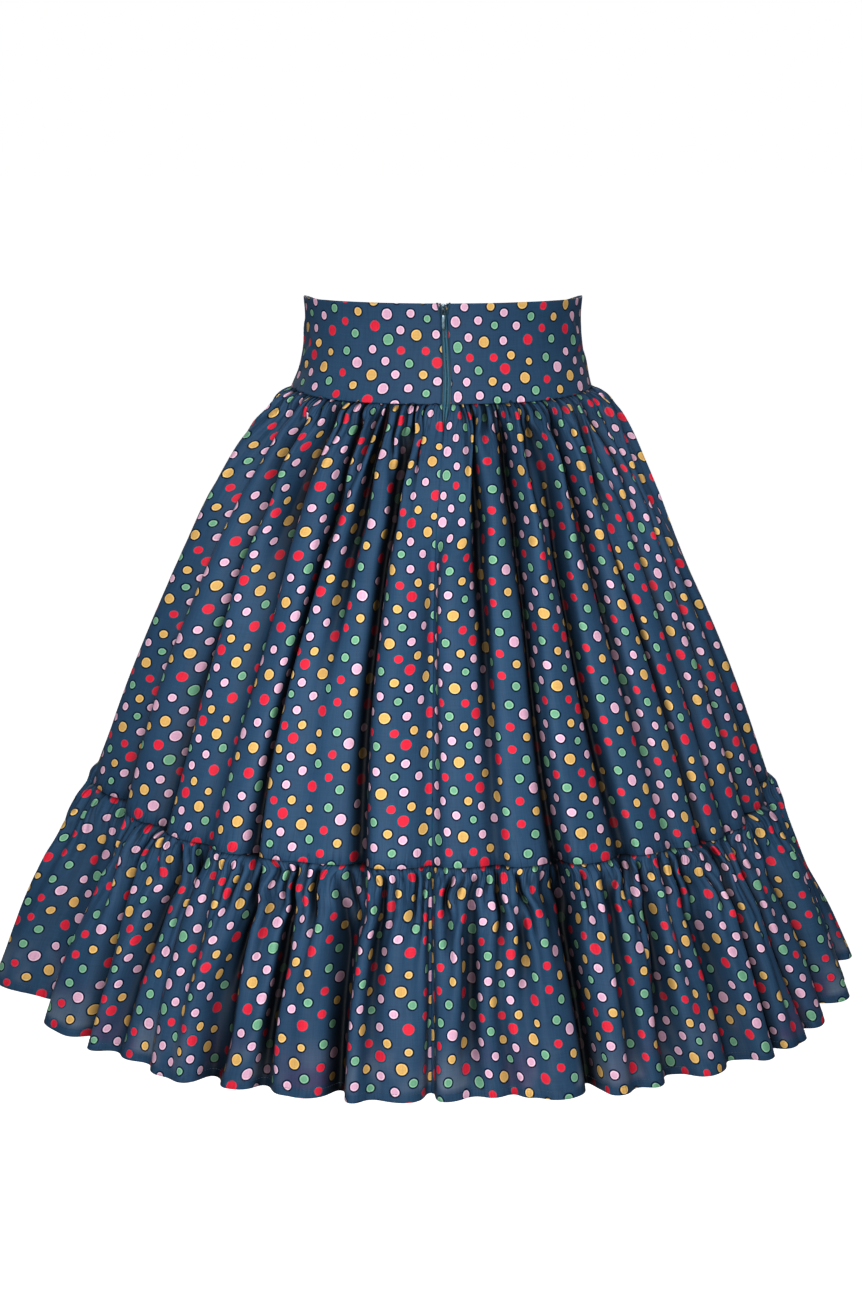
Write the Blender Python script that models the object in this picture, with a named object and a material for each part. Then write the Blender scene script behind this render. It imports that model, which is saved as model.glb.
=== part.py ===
"""A full gathered skirt: a wide fitted waistband, a gathered skirt tier, a gathered ruffle and a back zip.

The origin is at the middle of the waist, at its narrowest height. +Z is up, the wearer faces +Y,
and the back with its zip faces -Y. Sizes are in metres.
"""

import math
from typing import NamedTuple

import bmesh
import bpy
import numpy as np


class Ring(NamedTuple):
    """One level of a cloth wall.

    drop is how far down the piece it lies, half_width its size at the sides over the ridges,
    kept the share of the cloth's length that the stitches leave open there, and deepest how
    far in a fold may reach.
    """

    drop: float
    half_width: float
    kept: float
    deepest: float


class Fold(NamedTuple):
    """One large fold: where its valley lies, in degrees from the centre back, and how deep it is."""

    angle: float
    depth: float


class Level(NamedTuple):
    """A seam's height at the sides, and how much lower it runs at the back, the front and the right."""

    side: float
    back_drop: float
    front_drop: float
    right_sag: float


class Strip(NamedTuple):
    """The flat strip beside the zip at one drop: its depth from the ridges, and how firmly it is held."""

    drop: float
    depth: float
    hold: float


class Tube(NamedTuple):
    """One cloth wall all round: its rings, seams above and below, cloth length and depth to width shares."""

    rings: tuple
    upper: Level
    lower: Level
    cloth: float
    depth_shares: tuple


# Cloth
WALL = 0.0014
SEAM_GAP = 0.0003
TIER_CLOTH = 2.10
RUFFLE_CLOTH = 3.20

# Seams, from the top edge down to the hem
TOP_EDGE = Level(0.0303, -0.0006, 0.017, 0.0)
WAIST_SEAM = Level(-0.0513, 0.005, 0.012, 0.0)
TIER_SEAM = Level(-0.4060, 0.032, 0.031, 0.021)
HEM = Level(-0.5970, 0.022, 0.021, 0.017)
LEVEL_POWER = 5
SAG_TURN = math.radians(70)
SAG_SPREAD = math.radians(26)
SWAY = -0.0145
SWAY_STARTS = -0.035
SWAY_HEIGHT = 0.12

BAND_RINGS = (
    Ring(0.00, 0.1272, 1.0, 0.001),
    Ring(0.20, 0.1260, 1.0, 0.001),
    Ring(0.40, 0.1266, 1.0, 0.001),
    Ring(0.60, 0.1285, 1.0, 0.001),
    Ring(0.80, 0.1322, 1.0, 0.001),
    Ring(1.00, 0.1376, 1.0, 0.001),
)
TIER_RINGS = (
    Ring(0.000, 0.1392, 0.47, 0.0055),
    Ring(0.015, 0.1475, 0.75, 0.0125),
    Ring(0.050, 0.1560, 1.0, 0.022),
    Ring(0.120, 0.1745, 1.0, 0.032),
    Ring(0.260, 0.2025, 1.0, 0.042),
    Ring(0.500, 0.2430, 1.0, 0.055),
    Ring(0.750, 0.2812, 1.0, 0.060),
    Ring(1.000, 0.3148, 1.0, 0.060),
)
RUFFLE_RINGS = (
    Ring(0.00, 0.3150, 0.69, 0.060),
    Ring(0.06, 0.3215, 0.86, 0.060),
    Ring(0.25, 0.3383, 1.0, 0.060),
    Ring(0.60, 0.3680, 1.0, 0.060),
    Ring(1.00, 0.3958, 1.0, 0.060),
)
BAND = Tube(BAND_RINGS, TOP_EDGE, WAIST_SEAM, 0.0, (0.76, 0.77))
TIER = Tube(TIER_RINGS, WAIST_SEAM, TIER_SEAM, TIER_CLOTH, (0.77, 0.84))
RUFFLE = Tube(RUFFLE_RINGS, TIER_SEAM, HEM, RUFFLE_CLOTH, (0.84, 0.86))

# Folds and gathers
FOLDS = (
    Fold(-83.0, 0.9),
    Fold(-65.0, 1.0),
    Fold(-51.5, 1.0),
    Fold(-40.0, 0.5),
    Fold(-29.5, 1.1),
    Fold(-21.0, 0.4),
    Fold(-12.5, 1.1),
    Fold(0.0, 0.6),
    Fold(10.7, 0.9),
    Fold(20.6, 1.5),
    Fold(33.0, 0.9),
    Fold(43.0, 0.8),
    Fold(52.0, 1.0),
    Fold(61.0, 0.5),
    Fold(71.0, 1.0),
    Fold(84.0, 0.9),
    Fold(97.0, 0.9),
    Fold(107.0, 0.6),
    Fold(119.0, 1.1),
    Fold(129.0, 0.8),
    Fold(142.0, 1.2),
    Fold(151.0, 0.6),
    Fold(163.0, 1.0),
    Fold(174.0, 0.7),
    Fold(186.0, 1.1),
    Fold(197.0, 0.5),
    Fold(207.0, 1.0),
    Fold(220.0, 1.3),
    Fold(231.0, 0.7),
    Fold(242.0, 1.0),
    Fold(253.0, 0.6),
    Fold(264.0, 0.9),
)
TIER_GATHERS = 64
RUFFLE_GATHERS = 92
COLUMNS_PER_GATHER = 4
BAND_COLUMNS = 48
VALLEY_SHARPNESS = 0.32
STEEPEST_LEAN = math.radians(84)
RIDGE_PERCENTILE = 88
RING_SAMPLES = 2880
SHARPEST_MITRE = 2.0
DRIFT_SHARE = 0.12

# Centre back zip
ZIP_STRIP = (
    Strip(0.000, -0.0014, 1.0),
    Strip(0.015, -0.0060, 1.0),
    Strip(0.050, -0.0085, 1.0),
    Strip(0.120, -0.0085, 1.0),
    Strip(0.260, -0.0080, 1.0),
    Strip(0.500, -0.0060, 0.0),
    Strip(1.000, -0.0060, 0.0),
)
STRIP_HALF_WIDTH = 0.014
STRIP_BLEND = 0.022
GAP_AT_TOP = 0.0027
GAP_AT_WAIST_SEAM = 0.0042
GAP_CLOSES_AT = 0.06
GAP_SPREAD = 0.018
ZIP_LEAN = 0.0045
LEAN_FADES_AT = 0.30
TAPE_ENDS_AT = 0.26
TAPE_THICKNESS = 0.0008
TAPE_PROFILE = (
    (0.00015, 0.0012),
    (0.0017, 0.0012),
    (0.0022, 0.0006),
    (0.0023, 0.0000),
    (0.0120, 0.0000),
    (0.0120, -TAPE_THICKNESS),
    (0.00015, -TAPE_THICKNESS),
)
TAPE_SINKS = ((0.0, 0.0008), (0.015, 0.0024), (0.05, 0.0024), (0.12, 0.0016), (1.0, 0.0014))
SLIDER_MIDDLE = 0.0262
SLIDER_LENGTH = 0.0100
SLIDER_WIDTH = 0.0046
SLIDER_PLATE = 0.0010
BRIDGE_WIDTH = 0.0012
BRIDGE_OUTER = (0.0030, 0.0028)
BRIDGE_INNER = (0.0020, 0.0018)
TAB_LENGTH = 0.0188
TAB_WIDTH = 0.0046
TAB_THICKNESS = 0.0011
TAB_BAR = 0.0005
TAB_EYE = (0.0022, 0.0046)
TAB_CLEARANCE = 0.0003

COLLECTION = "full_skirt"


def clear_scene():
    """Removes the objects that the scene starts with."""
    for obj in list(bpy.data.objects):
        bpy.data.objects.remove(obj, do_unlink=True)


def material(name, colour, roughness, metallic=0.0):
    """A Principled material of one colour."""
    made = bpy.data.materials.new(name)
    made.use_nodes = True
    shader = made.node_tree.nodes["Principled BSDF"]
    shader.inputs["Base Color"].default_value = (*colour, 1.0)
    shader.inputs["Roughness"].default_value = roughness
    shader.inputs["Metallic"].default_value = metallic
    return made


def ellipse(half_width, half_depth, share):
    """Points, outward normals, turns and full length of an ellipse at shares of its length from -Y."""
    turn = np.linspace(0, 2 * math.pi, 2881)
    length = np.hypot(np.diff(half_width * np.sin(turn)), np.diff(half_depth * np.cos(turn)))
    along = np.concatenate([[0], np.cumsum(length)])
    at = np.interp(share, along / along[-1], turn)
    points = np.stack([half_width * np.sin(at), -half_depth * np.cos(at)], axis=1)
    outward = np.stack([half_depth * np.sin(at), -half_width * np.cos(at)], axis=1)
    return points, outward / np.linalg.norm(outward, axis=1)[:, None], at, along[-1]


def level_height(level, turn):
    """A seam's height at each turn: lowest at the centre back and centre front."""
    drop = np.where(np.cos(turn) > 0, level.back_drop, level.front_drop)
    sag = level.right_sag * np.exp(-(((turn - SAG_TURN) / SAG_SPREAD) ** 2))
    return level.side - drop * (1 - np.abs(np.sin(turn)) ** LEVEL_POWER) - sag


def fold_wave(share):
    """How the large folds lean the cloth round the ring: narrow valleys between broad ridges."""
    turns = np.radians(sorted(fold.angle % 360 for fold in FOLDS))
    depths = np.array([fold.depth for fold in sorted(FOLDS, key=lambda fold: fold.angle % 360)])
    around = np.linspace(0, 2 * math.pi, 721)
    steps = np.hypot(np.cos(around), TIER.depth_shares[1] * np.sin(around))
    places = np.interp(turns, around, np.cumsum(steps) - steps[0]) / (np.sum(steps) - steps[0])
    places = np.append(places, 1 + places[0])
    phase = 2 * math.pi * np.interp(share, places, np.arange(len(places)))
    depth = np.interp(share, places, np.append(depths, depths[0]))
    return depth * (np.sin(phase) + VALLEY_SHARPNESS * np.sin(2 * phase))


def gather_phase(share, gathers):
    """The phase of the small gathers: uneven between the seams and whole at each seam."""
    uneven = 0.9 * np.sin(8 * math.pi * share) + 0.5 * np.sin(24 * math.pi * share)
    return 2 * math.pi * gathers * share + uneven + 0.35 * np.sin(56 * math.pi * share)


def gather_wave(share, gathers):
    """How the small gathers lean the cloth, some deeper than others."""
    uneven = 1 + 0.25 * np.sin(26 * math.pi * share + 1) + 0.2 * np.sin(62 * math.pi * share)
    return uneven * np.sin(gather_phase(share, gathers))


def gather_shares(gathers):
    """Shares round the cloth for the columns: each gather's valley, its ridge and the two flanks."""
    fine = np.linspace(0, 1, 24001)
    phase = gather_phase(fine, gathers) / (2 * math.pi) * COLUMNS_PER_GATHER
    return np.interp(np.arange(gathers * COLUMNS_PER_GATHER + 1), phase, fine)


def tier_waves(share, drop):
    """The tier's lean at one drop: fine gathers under the waist seam give way to large folds."""
    large = fold_wave(share) * (0.50 + 0.50 * min(1.0, drop / 0.35))
    middle = 0.55 * math.exp(-((drop / 0.35) ** 2)) * gather_wave(share, TIER_GATHERS // 2)
    fine = 1.3 * math.exp(-drop / 0.07) * gather_wave(share, TIER_GATHERS)
    return large + middle + fine


def ruffle_waves(share, drop):
    """The ruffle's own lean at one drop: gathers that open into soft waves."""
    fine = math.exp(-drop / 0.35) * gather_wave(share, RUFFLE_GATHERS)
    middle = 0.8 * min(1.0, drop / 0.35) * gather_wave(share, RUFFLE_GATHERS // 2)
    return fine + middle


def held_strip(cloth, share, drop):
    """The depth wanted beside the zip at one drop, and how firmly each sample is held flat there."""
    drops = [strip.drop for strip in ZIP_STRIP]
    depth = np.interp(drop, drops, [strip.depth for strip in ZIP_STRIP])
    hold = np.interp(drop, drops, [strip.hold for strip in ZIP_STRIP])
    away = np.minimum(share, 1 - share) * cloth
    ease = np.clip((away - STRIP_HALF_WIDTH) / STRIP_BLEND, 0, 1)
    return depth, hold, hold * (1 - ease * ease * (3 - 2 * ease))


def settled(values, share_of_ring):
    """Values round the ring without their slow drift, which is their average over a share of the ring."""
    window = int(RING_SAMPLES * share_of_ring / 2)
    wrapped = np.concatenate([values[-window:], values, values[:window]])
    return values - np.convolve(wrapped, np.ones(2 * window + 1) / (2 * window + 1), "valid")


def folded(fixed, free, cloth, ring_length):
    """Finds how steeply the cloth leans for its length to fit round the ring.

    Returns each sample's share of the ring, its depth from the ridges, and the strength found.
    """
    step = cloth / RING_SAMPLES
    share = np.arange(RING_SAMPLES) / RING_SAMPLES
    low, high = 0.0, 12.0
    for _ in range(26):
        strength = (low + high) / 2
        lean = STEEPEST_LEAN * np.tanh((fixed + strength * free) / STEEPEST_LEAN)
        depth = np.cumsum(np.sin(lean)) * step
        depth = settled(depth - share * depth[-1], DRIFT_SHARE)
        depth = depth - np.percentile(depth, RIDGE_PERCENTILE)
        if np.cos(lean).sum() * step > ring_length + 2 * math.pi * depth.mean():
            low = strength
        else:
            high = strength
    along = np.cumsum(np.cos(lean)) - np.cos(lean)[0]
    drift = settled(along / (along[-1] + np.cos(lean)[0]) - share, DRIFT_SHARE)
    return share + drift - drift[0], depth, strength


def ring_length(tube, ring):
    """The length once round one ring, over its ridges, with its half width and half depth."""
    upper, lower = tube.depth_shares
    half_depth = ring.half_width * (upper + (lower - upper) * ring.drop)
    return ellipse(ring.half_width, half_depth, np.zeros(1))[3], half_depth


def tier_ring(ring, share):
    """One folded ring of the tier: ring shares and depths at each sample, and the strength found."""
    depth_wanted, hold, firm = held_strip(TIER_CLOTH, share, ring.drop)
    free = tier_waves(share, ring.drop) * (1 - firm)
    around, depth, strength = folded(0 * share, free, TIER_CLOTH * ring.kept, ring_length(TIER, ring)[0])
    depth = np.where(depth < 0, ring.deepest * np.tanh(depth / ring.deepest), depth)
    away = np.minimum(share, 1 - share) * TIER_CLOTH
    depth = depth + hold * (depth_wanted - depth[0]) * np.exp(-((away / 0.045) ** 2))
    return around, depth, strength


def ruffle_ring(ring, share):
    """One folded ring of the ruffle: the tier's large folds, deepening, with the gathers on them."""
    strength = tier_ring(TIER_RINGS[-1], share)[2]
    fixed = strength * tier_waves(share, 1.0) * (1 + 0.3 * ring.drop)
    length = ring_length(RUFFLE, ring)[0]
    return folded(fixed, ruffle_waves(share, ring.drop), RUFFLE_CLOTH * ring.kept, length)


def band_ring(ring, share):
    """One smooth ring of the waistband."""
    return share, 0 * share, 0.0


def zip_gap(tube, drop):
    """Half the width by which the cloth parts over the zip at one drop."""
    if tube is BAND:
        return GAP_AT_TOP + (GAP_AT_WAIST_SEAM - GAP_AT_TOP) * drop
    open_share = max(0.0, 1 - drop / GAP_CLOSES_AT) if tube is TIER else 0.0
    return SEAM_GAP / 2 + (GAP_AT_WAIST_SEAM - SEAM_GAP / 2) * open_share


def zip_lean(tube, drop):
    """How far the zip and the seam below it lean towards the right at one drop."""
    if tube is BAND:
        return ZIP_LEAN * drop
    return ZIP_LEAN * max(0.0, 1 - drop / LEAN_FADES_AT) if tube is TIER else 0.0


def sway(height):
    """How far the skirt hangs to the side at each height."""
    return SWAY * (1 - np.exp(np.minimum(height - SWAY_STARTS, 0.0) / SWAY_HEIGHT))


def heights(tube, drop, turn):
    """The height of one ring at each turn, with the seam's gap left above the tier and the ruffle."""
    upper = level_height(tube.upper, turn) - (0.0 if tube is BAND else SEAM_GAP)
    return upper + (level_height(tube.lower, turn) - upper) * drop


def mitres(points):
    """Outward directions at a ring's columns, long enough to keep the wall even round each bend."""
    ahead = np.diff(points, axis=0)
    ahead = ahead / np.linalg.norm(ahead, axis=1)[:, None]
    before = np.vstack([ahead[:1], ahead])
    after = np.vstack([ahead, ahead[-1:]])
    along = before + after
    along = along / np.linalg.norm(along, axis=1)[:, None]
    cosine = np.clip((along * after).sum(axis=1), 1 / SHARPEST_MITRE, 1)
    return np.stack([along[:, 1], -along[:, 0]], axis=1) / cosine[:, None], along


def tube_rows(tube, wave_ring, columns):
    """Outer points, inner points and the direction along the cloth, for every ring and column."""
    share = np.arange(RING_SAMPLES) / RING_SAMPLES
    outer, inner, along_rows = [], [], []
    for ring in tube.rings:
        around, depth, _ = wave_ring(ring, share)
        length, half_depth = ring_length(tube, ring)
        around = np.interp(columns, np.append(share, 1.0), np.append(around, 1.0))
        depth = np.interp(columns, np.append(share, 1.0), np.append(depth, depth[0]))
        gap, lean = zip_gap(tube, ring.drop) / length, zip_lean(tube, ring.drop) / length
        spread = GAP_SPREAD / length
        right = (lean + gap) * np.exp(-around / spread)
        parted = around + right + (lean - gap) * np.exp(-(1 - around) / spread)
        points, outward, turn, _ = ellipse(ring.half_width, half_depth, parted)
        height = heights(tube, ring.drop, turn)
        flat = points + outward * depth[:, None]
        flat[:, 0] += sway(height)
        out, along = mitres(flat)
        outer.append(np.column_stack([flat, height]))
        inner.append(np.column_stack([flat - out * WALL, height]))
        along_rows.append(np.column_stack([along, 0 * height]))
    return np.array(outer), np.array(inner), np.array(along_rows)


def add_object(name, bm, finish, collection):
    """Makes one named object from a bmesh, with its faces outward."""
    bmesh.ops.recalc_face_normals(bm, faces=bm.faces)
    mesh = bpy.data.meshes.new(name)
    bm.to_mesh(mesh)
    bm.free()
    mesh.materials.append(finish)
    obj = bpy.data.objects.new(name, mesh)
    collection.objects.link(obj)
    return obj


def shell(name, outer, inner, finish, collection):
    """A closed wall between an outer and an inner grid of points, cut into triangles the same way."""
    rows, columns = outer.shape[:2]
    bm = bmesh.new()
    out = [[bm.verts.new(point) for point in row] for row in outer]
    back = [[bm.verts.new(point) for point in row] for row in inner]
    for i in range(rows - 1):
        for j in range(columns - 1):
            for grid in (out, back):
                bm.faces.new((grid[i][j], grid[i + 1][j], grid[i + 1][j + 1]))
                bm.faces.new((grid[i][j], grid[i + 1][j + 1], grid[i][j + 1]))
    for i in (0, rows - 1):
        for j in range(columns - 1):
            bm.faces.new((out[i][j], out[i][j + 1], back[i][j + 1], back[i][j]))
    for j in (0, columns - 1):
        for i in range(rows - 1):
            bm.faces.new((out[i][j], back[i][j], back[i + 1][j], out[i + 1][j]))
    return add_object(name, bm, finish, collection)


def cut_panels(piece, rows, quarter, finish, collection):
    """The front, back right and back left panels of one tube, parted at the side seams."""
    outer, inner, along = rows
    panels = (
        (f"{piece}_back_right", 0, quarter),
        (f"{piece}_front", quarter, 3 * quarter),
        (f"{piece}_back_left", 3 * quarter, 4 * quarter),
    )
    for name, start, end in panels:
        near, far = outer[:, start : end + 1].copy(), inner[:, start : end + 1].copy()
        for column, side, at in ((0, 1, start), (-1, -1, end)):
            if at in (quarter, 3 * quarter):
                near[:, column] += side * SEAM_GAP / 2 * along[:, at]
                far[:, column] += side * SEAM_GAP / 2 * along[:, at]
        shell(name, near, far, finish, collection)


def tape_rows():
    """The rings that the zip tapes follow: (tube, ring, depth of the cloth, how far the tape sinks)."""
    drops = [strip.drop for strip in ZIP_STRIP]
    depths = [strip.depth for strip in ZIP_STRIP]
    sink_drops, sinks = zip(*TAPE_SINKS)
    rows = [(BAND, ring, 0.0, 0.0) for ring in BAND_RINGS]
    for ring in TIER_RINGS:
        if ring.drop <= TAPE_ENDS_AT:
            depth = float(np.interp(ring.drop, drops, depths))
            rows.append((TIER, ring, depth, float(np.interp(ring.drop, sink_drops, sinks))))
    return rows


def zip_tape(name, side, finish, collection):
    """One zip tape behind the cloth's edge, with the ridge of its closed coil at the middle."""
    bm = bmesh.new()
    across, rises = (np.array(column) for column in zip(*TAPE_PROFILE))
    loops = []
    for tube, ring, depth, sink in tape_rows():
        length, half_depth = ring_length(tube, ring)
        share = (side * across + zip_lean(tube, ring.drop)) / length
        points, outward, turn, _ = ellipse(ring.half_width, half_depth, share % 1.0)
        height = heights(tube, ring.drop, turn)
        out = depth - WALL - SEAM_GAP - sink + rises
        flat = points + outward * out[:, None]
        flat[:, 0] += sway(height)
        loops.append([bm.verts.new((x, y, z)) for (x, y), z in zip(flat, height)])
    for upper, lower in zip(loops, loops[1:]):
        for j in range(len(upper)):
            k = (j + 1) % len(upper)
            bm.faces.new((upper[j], lower[j], lower[k]))
            bm.faces.new((upper[j], lower[k], upper[k]))
    for loop in (loops[0], loops[-1]):
        bm.faces.new(loop)
    return add_object(name, bm, finish, collection)


def box(low, high):
    """A box between two corners, as a new bmesh."""
    bm = bmesh.new()
    bmesh.ops.create_cube(bm, size=1.0)
    for vert in bm.verts:
        vert.co = [a + (b - a) * (c + 0.5) for a, b, c in zip(low, high, vert.co)]
    return bm


def shaped(target, cutter, operation):
    """Adds or cuts one object with another by a boolean modifier, and hides the tool object."""
    modifier = target.modifiers.new(cutter.name, "BOOLEAN")
    modifier.operation = operation
    modifier.solver = "EXACT"
    modifier.object = cutter
    cutter.hide_render = True
    cutter.display_type = "WIRE"


def slider_face():
    """How far out the slider's front plate starts: just in front of the closed coils."""
    ring = BAND_RINGS[0]
    return ring_length(BAND, ring)[1] - WALL - SEAM_GAP + TAPE_PROFILE[0][1] + SEAM_GAP


def build_slider(finish, collection, tools):
    """The slider: a front plate over the closed coils, with the bridge that holds the pull tab."""
    back = -slider_face()
    front = back - SLIDER_PLATE
    half = SLIDER_LENGTH / 2
    low = (-SLIDER_WIDTH / 2, front, SLIDER_MIDDLE - half)
    high = (SLIDER_WIDTH / 2, back, SLIDER_MIDDLE + half)
    slider = add_object("zip_slider", box(low, high), finish, collection)
    outer_z, outer_y = BRIDGE_OUTER
    inner_z, inner_y = BRIDGE_INNER
    loop = [
        (front + 0.0003, outer_z),
        (front - outer_y + 0.0006, outer_z),
        (front - outer_y, outer_z - 0.0006),
        (front - outer_y, 0.0006 - outer_z),
        (front - outer_y + 0.0006, -outer_z),
        (front + 0.0003, -outer_z),
        (front + 0.0003, -inner_z),
        (front - inner_y, -inner_z),
        (front - inner_y, inner_z),
        (front + 0.0003, inner_z),
    ]
    bm = bmesh.new()
    for x in (-BRIDGE_WIDTH / 2, BRIDGE_WIDTH / 2):
        bm.faces.new([bm.verts.new((x, y, SLIDER_MIDDLE + z)) for y, z in loop])
    bm.verts.ensure_lookup_table()
    count = len(loop)
    for j in range(count):
        k = (j + 1) % count
        bm.faces.new((bm.verts[j], bm.verts[k], bm.verts[count + k], bm.verts[count + j]))
    bridge = add_object("bridge_tool", bm, finish, tools)
    shaped(slider, bridge, "UNION")


def build_pull_tab(finish, collection, tools):
    """The pull tab, hanging from the bridge. Its origin is on the hinge, in the middle of its bar."""
    hinge = -slider_face() - SLIDER_PLATE - TAB_CLEARANCE - TAB_THICKNESS / 2
    half_width, half_thick = TAB_WIDTH / 2, TAB_THICKNESS / 2
    loop = [(-0.0018, TAB_BAR), (0.0018, TAB_BAR)]
    loop += [(half_width, -0.0060), (half_width, TAB_BAR + half_width * 0.6 - TAB_LENGTH)]
    end = TAB_BAR - TAB_LENGTH
    loop += [(half_width * 0.6, end), (-half_width * 0.6, end)]
    loop += [(-half_width, TAB_BAR + half_width * 0.6 - TAB_LENGTH), (-half_width, -0.0060)]
    bm = bmesh.new()
    for y in (-half_thick, half_thick):
        bm.faces.new([bm.verts.new((x, y, z)) for x, z in loop])
    bm.verts.ensure_lookup_table()
    count = len(loop)
    for j in range(count):
        k = (j + 1) % count
        bm.faces.new((bm.verts[j], bm.verts[k], bm.verts[count + k], bm.verts[count + j]))
    tab = add_object("zip_pull_tab", bm, finish, collection)
    tab.location = (0.0, hinge, SLIDER_MIDDLE)
    eye_width, eye_length = TAB_EYE
    low = (-eye_width / 2, hinge - 0.002, SLIDER_MIDDLE - TAB_BAR - eye_length)
    high = (eye_width / 2, hinge + 0.002, SLIDER_MIDDLE - TAB_BAR)
    eye = add_object("eye_tool", box(low, high), finish, tools)
    shaped(tab, eye, "DIFFERENCE")


def main():
    """Builds every piece of the skirt."""
    clear_scene()
    collection = bpy.data.collections.new(COLLECTION)
    tools = bpy.data.collections.new(f"{COLLECTION}_tools")
    bpy.context.scene.collection.children.link(collection)
    bpy.context.scene.collection.children.link(tools)
    cloth = material("dotted_cotton", (0.035, 0.085, 0.145), 0.6)
    tape = material("teal_tape", (0.02, 0.11, 0.16), 0.5)
    metal = material("painted_metal", (0.03, 0.12, 0.18), 0.3, 0.7)
    band_columns = np.linspace(0, 1, BAND_COLUMNS + 1)
    rows = tube_rows(BAND, band_ring, band_columns)
    cut_panels("waistband", rows, BAND_COLUMNS // 4, cloth, collection)
    rows = tube_rows(TIER, tier_ring, gather_shares(TIER_GATHERS))
    cut_panels("tier", rows, TIER_GATHERS * COLUMNS_PER_GATHER // 4, cloth, collection)
    rows = tube_rows(RUFFLE, ruffle_ring, gather_shares(RUFFLE_GATHERS))
    cut_panels("ruffle", rows, RUFFLE_GATHERS * COLUMNS_PER_GATHER // 4, cloth, collection)
    zip_tape("zip_tape_right", 1, tape, collection)
    zip_tape("zip_tape_left", -1, tape, collection)
    build_slider(metal, collection, tools)
    build_pull_tab(metal, collection, tools)


main()
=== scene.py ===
"""The looks of a full gathered skirt in dotted cotton, shown from the back as it is worn.

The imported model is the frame. Each cloth panel is a thin shell on its solid's form, worked out from
the same sizes, with finer gathers, creases, turned edges and a sewn hem. Sizes are in metres, +Z is
up, the wearer faces +Y, and the back with its zip faces -Y.
"""

import logging
import math
from dataclasses import dataclass, field
from enum import Enum

import bmesh
import bpy
import numpy as np
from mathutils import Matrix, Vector


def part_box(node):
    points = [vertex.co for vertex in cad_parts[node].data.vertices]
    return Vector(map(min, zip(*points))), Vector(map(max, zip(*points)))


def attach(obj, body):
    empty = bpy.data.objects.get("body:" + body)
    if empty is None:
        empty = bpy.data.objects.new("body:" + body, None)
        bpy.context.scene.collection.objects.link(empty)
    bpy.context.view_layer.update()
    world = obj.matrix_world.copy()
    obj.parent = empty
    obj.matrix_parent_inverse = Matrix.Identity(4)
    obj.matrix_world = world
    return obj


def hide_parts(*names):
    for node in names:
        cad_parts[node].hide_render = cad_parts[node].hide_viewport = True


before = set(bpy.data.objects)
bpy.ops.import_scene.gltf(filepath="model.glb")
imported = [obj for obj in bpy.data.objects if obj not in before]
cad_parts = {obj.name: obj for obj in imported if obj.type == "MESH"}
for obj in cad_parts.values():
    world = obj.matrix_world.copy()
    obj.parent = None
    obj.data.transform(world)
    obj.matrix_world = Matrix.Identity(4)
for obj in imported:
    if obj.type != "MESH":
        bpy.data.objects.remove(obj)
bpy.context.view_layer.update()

LOG = logging.getLogger("full_skirt")
CLOTH_MAP = "cloth"
PUCKER = "pucker"
HEM = "hem"
OPENNESS = "openness"
FULL_TURN = 2 * math.pi

Array = np.ndarray
Colour = tuple[float, float, float]
Socket = bpy.types.NodeSocket
Loop = list[bmesh.types.BMVert]


class Body(Enum):
    """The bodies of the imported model."""

    SKIRT = "skirt"
    PULL_TAB = "pull_tab"


class Slot(Enum):
    """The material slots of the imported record."""

    COTTON = "dotted_cotton"
    TAPE = "teal_tape"
    METAL = "painted_metal"


class Panel(Enum):
    """One cut panel of a cloth tube: its name, and where it starts and ends round the cloth."""

    BACK_RIGHT = ("back_right", 0.0, 0.25)
    FRONT = ("front", 0.25, 0.75)
    BACK_LEFT = ("back_left", 0.75, 1.0)

    def __init__(self, label: str, start: float, end: float) -> None:
        """Keeps the panel's name and its place round the cloth."""
        self.label = label
        self.start = start
        self.end = end


class Side(Enum):
    """Which side of the zip a piece lies on."""

    LEFT = -1
    RIGHT = 1


class DotColour(Enum):
    """The four printed colours: the inner disc and the lighter rim round it."""

    PINK = ((0.740, 0.410, 0.570), (0.880, 0.600, 0.720))
    YELLOW = ((0.700, 0.410, 0.120), (0.860, 0.570, 0.180))
    RED = ((0.700, 0.020, 0.046), (0.760, 0.030, 0.060))
    GREEN = ((0.155, 0.385, 0.235), (0.270, 0.550, 0.335))


class DotSize(Enum):
    """The three printed diameters."""

    SMALL = 0.0062
    NORMAL = 0.0072
    LARGE = 0.0094


@dataclass(frozen=True)
class Dot:
    """One dot of the printed repeat, nudged from its place in the staggered lattice, in millimetres."""

    colour: DotColour
    size: DotSize
    right: float
    down: float


@dataclass(frozen=True)
class Ring:
    """One level of a cloth wall.

    drop is how far down the piece it lies, half_width its size at the sides over the ridges, kept the
    share of the cloth's length that the stitches leave open, and deepest how far in a fold reaches.
    """

    drop: float
    half_width: float
    kept: float
    deepest: float


@dataclass(frozen=True)
class Fold:
    """One large fold: its valley's angle in degrees from the centre back, and how deep it is."""

    angle: float
    depth: float


@dataclass(frozen=True)
class Strip:
    """The flat strip beside the zip at one drop: its depth from the ridges, and how firmly it is held."""

    drop: float
    depth: float
    hold: float


@dataclass(frozen=True)
class Crease:
    """One soft pull crease in smooth cloth.

    turn is its middle's angle in degrees from the centre back, drop its height down the piece, length
    and width its size in metres, slant its angle from level in degrees, and rise its height.
    """

    turn: float
    drop: float
    length: float
    width: float
    slant: float
    rise: float


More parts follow.
